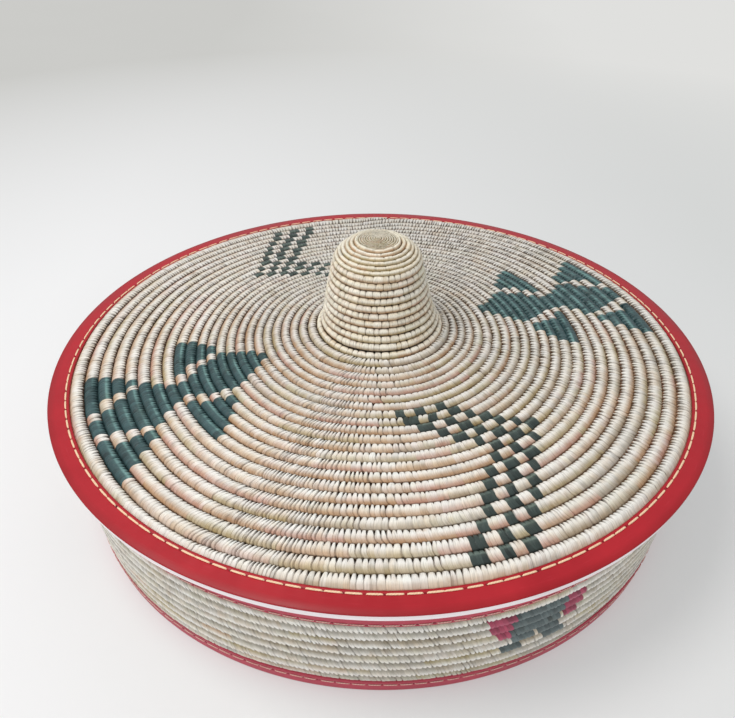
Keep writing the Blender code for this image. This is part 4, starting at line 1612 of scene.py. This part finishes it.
def area_light(name, place, aim, size, power, colour):
    data = bpy.data.lights.new(name, "AREA")
    data.shape = "DISK"
    data.size = size
    data.energy = power
    data.color = colour
    light = bpy.data.objects.new(name, data)
    bpy.context.scene.collection.objects.link(light)
    light.location = place
    light.rotation_mode = "QUATERNION"
    light.rotation_quaternion = (Vector(aim) - Vector(place)).to_track_quat("-Z", "Y")


FLOOR_RADIUS = 8.0
BACKDROP_FROM, BACKDROP_TO = 0.45, 1.3
# How much the floor glows for the camera near the basket, which pales its shadow
NEAR_GLOW = 0.4
# The floor's and the backdrop's colours at the left and at the right. They are painted light and shade: the
# floor lighter at the left, towards the lamps, and darker at the right, and the backdrop darker at the left.
FLOOR_LEFT, FLOOR_RIGHT = opaque(242, 242, 242), opaque(226, 227, 226)
GLOW_LEFT, GLOW_RIGHT = opaque(241, 241, 241), opaque(212, 214, 212)
BACKDROP_LEFT, BACKDROP_RIGHT = opaque(203, 203, 200), opaque(224, 224, 222)
SIDES_FROM, SIDES_TO = -0.35, 0.45
SKY_COLOUR, SKY_STRENGTH = (0.95, 0.97, 1.0, 1.0), 0.62
SKY_SEEN = opaque(214, 214, 211)


def add_stage():
    """A pale floor that takes the shadow and turns into a pale backdrop further out. Both carry painted
    light and shade from left to right, and the floor's glow for the camera pales its shadow.
    """
    look = Look("floor_pale")
    cloud = look.cloud(2.0, detail=2.0)
    place = look.node("ShaderNodeTexCoord").outputs["Object"]
    across = look.node("ShaderNodeSeparateXYZ", Vector=place).outputs["X"]
    # Painted light and shade across the stage, from 0 at the left to 1 at the right
    side = look.spread(across, SIDES_FROM, SIDES_TO, 0.0, 1.0)
    side = look.math("ADD", side, look.vary(cloud, -0.05, 0.05))
    look.set(Base_Color=look.blend(side, FLOOR_LEFT, FLOOR_RIGHT))
    look.set(Roughness=look.vary(cloud, 0.55, 0.65))
    distance = look.node("ShaderNodeVectorMath", {"operation": "LENGTH"})
    look.feed(distance, "0", place)
    far = look.spread(distance.outputs["Value"], BACKDROP_FROM, BACKDROP_TO, 0.0, 1.0)
    seen = look.node("ShaderNodeLightPath")
    plain = look.math("MAXIMUM", seen.outputs["Is Camera Ray"], seen.outputs["Is Glossy Ray"])
    near_colour = look.blend(side, GLOW_LEFT, GLOW_RIGHT)
    far_colour = look.blend(side, BACKDROP_LEFT, BACKDROP_RIGHT)
    glow = look.node("ShaderNodeEmission", Color=look.blend(far, near_colour, far_colour), Strength=1.0)
    mixed = look.node("ShaderNodeMixShader")
    look.feed(mixed, "0", look.math("MULTIPLY", look.spread(far, 0.0, 1.0, NEAR_GLOW, 1.0), plain))
    look.feed(mixed, "1", look.shader.outputs[0])
    look.feed(mixed, "2", glow.outputs[0])
    look.tree.links.new(mixed.outputs[0], look.tree.nodes["Material Output"].inputs["Surface"])
    bpy.ops.mesh.primitive_circle_add(vertices=128, radius=FLOOR_RADIUS, fill_type="NGON")
    floor = bpy.context.object
    floor.name = "floor"
    floor.data.materials.append(look.material)


def add_world():
    """A plain sky for light. The camera sees the backdrop's colour in its place."""
    world = bpy.data.worlds.new("studio")
    bpy.context.scene.world = world
    world.use_nodes = True
    tree = world.node_tree
    background = tree.nodes["Background"]
    background.inputs["Color"].default_value = SKY_COLOUR
    background.inputs["Strength"].default_value = SKY_STRENGTH
    backdrop = tree.nodes.new("ShaderNodeBackground")
    backdrop.inputs["Color"].default_value = SKY_SEEN
    path = tree.nodes.new("ShaderNodeLightPath")
    mixed = tree.nodes.new("ShaderNodeMixShader")
    tree.links.new(path.outputs["Is Camera Ray"], mixed.inputs[0])
    tree.links.new(background.outputs[0], mixed.inputs[1])
    tree.links.new(backdrop.outputs[0], mixed.inputs[2])
    tree.links.new(mixed.outputs[0], tree.nodes["World Output"].inputs["Surface"])


def add_lights():
    aim = (0.0, 0.0, 0.05)
    area_light("key", (-0.75, -0.25, 1.7), aim, 0.9, 16.0, (1.0, 0.98, 0.95))
    area_light("fill", (-0.2, -1.7, 0.9), aim, 1.2, 5.0, (0.98, 0.98, 1.0))


def main():
    add_camera()
    add_stage()
    add_world()
    add_lights()
    lid_straw = straw_look("lid_straw")
    base_straw = straw_look("base_straw", dyed_roughness=0.5)
    knob_straw = straw_look("knob_straw", 1800.0)
    cap_straw = straw_look("cap_straw", 4000.0)
    red = leather_look("lid_leather_red", opaque(180, 28, 40), opaque(166, 22, 34), opaque(196, 58, 70))
    rose = leather_look("base_leather_rose", opaque(192, 70, 88), opaque(174, 56, 74), opaque(206, 112, 126))
    thread = thread_look("thread_cream", opaque(232, 192, 152), opaque(246, 216, 182), opaque(222, 166, 128))
    rose_tones = (opaque(196, 146, 132), opaque(234, 198, 184), opaque(190, 120, 112))
    base_thread = thread_look("thread_rose", *rose_tones)
    make_lid_coil(lid_straw)
    make_knob(knob_straw)
    make_knob_cap(cap_straw)
    make_lid_band(red, thread)
    make_board(board_look())
    make_seat_ring(base_straw)
    make_base_coil(base_straw)
    make_base_floor(base_straw)
    make_rim_binding(rose, base_thread)
    make_foot_binding(rose, base_thread)
    bpy.context.scene.view_settings.view_transform = "Standard"


main()
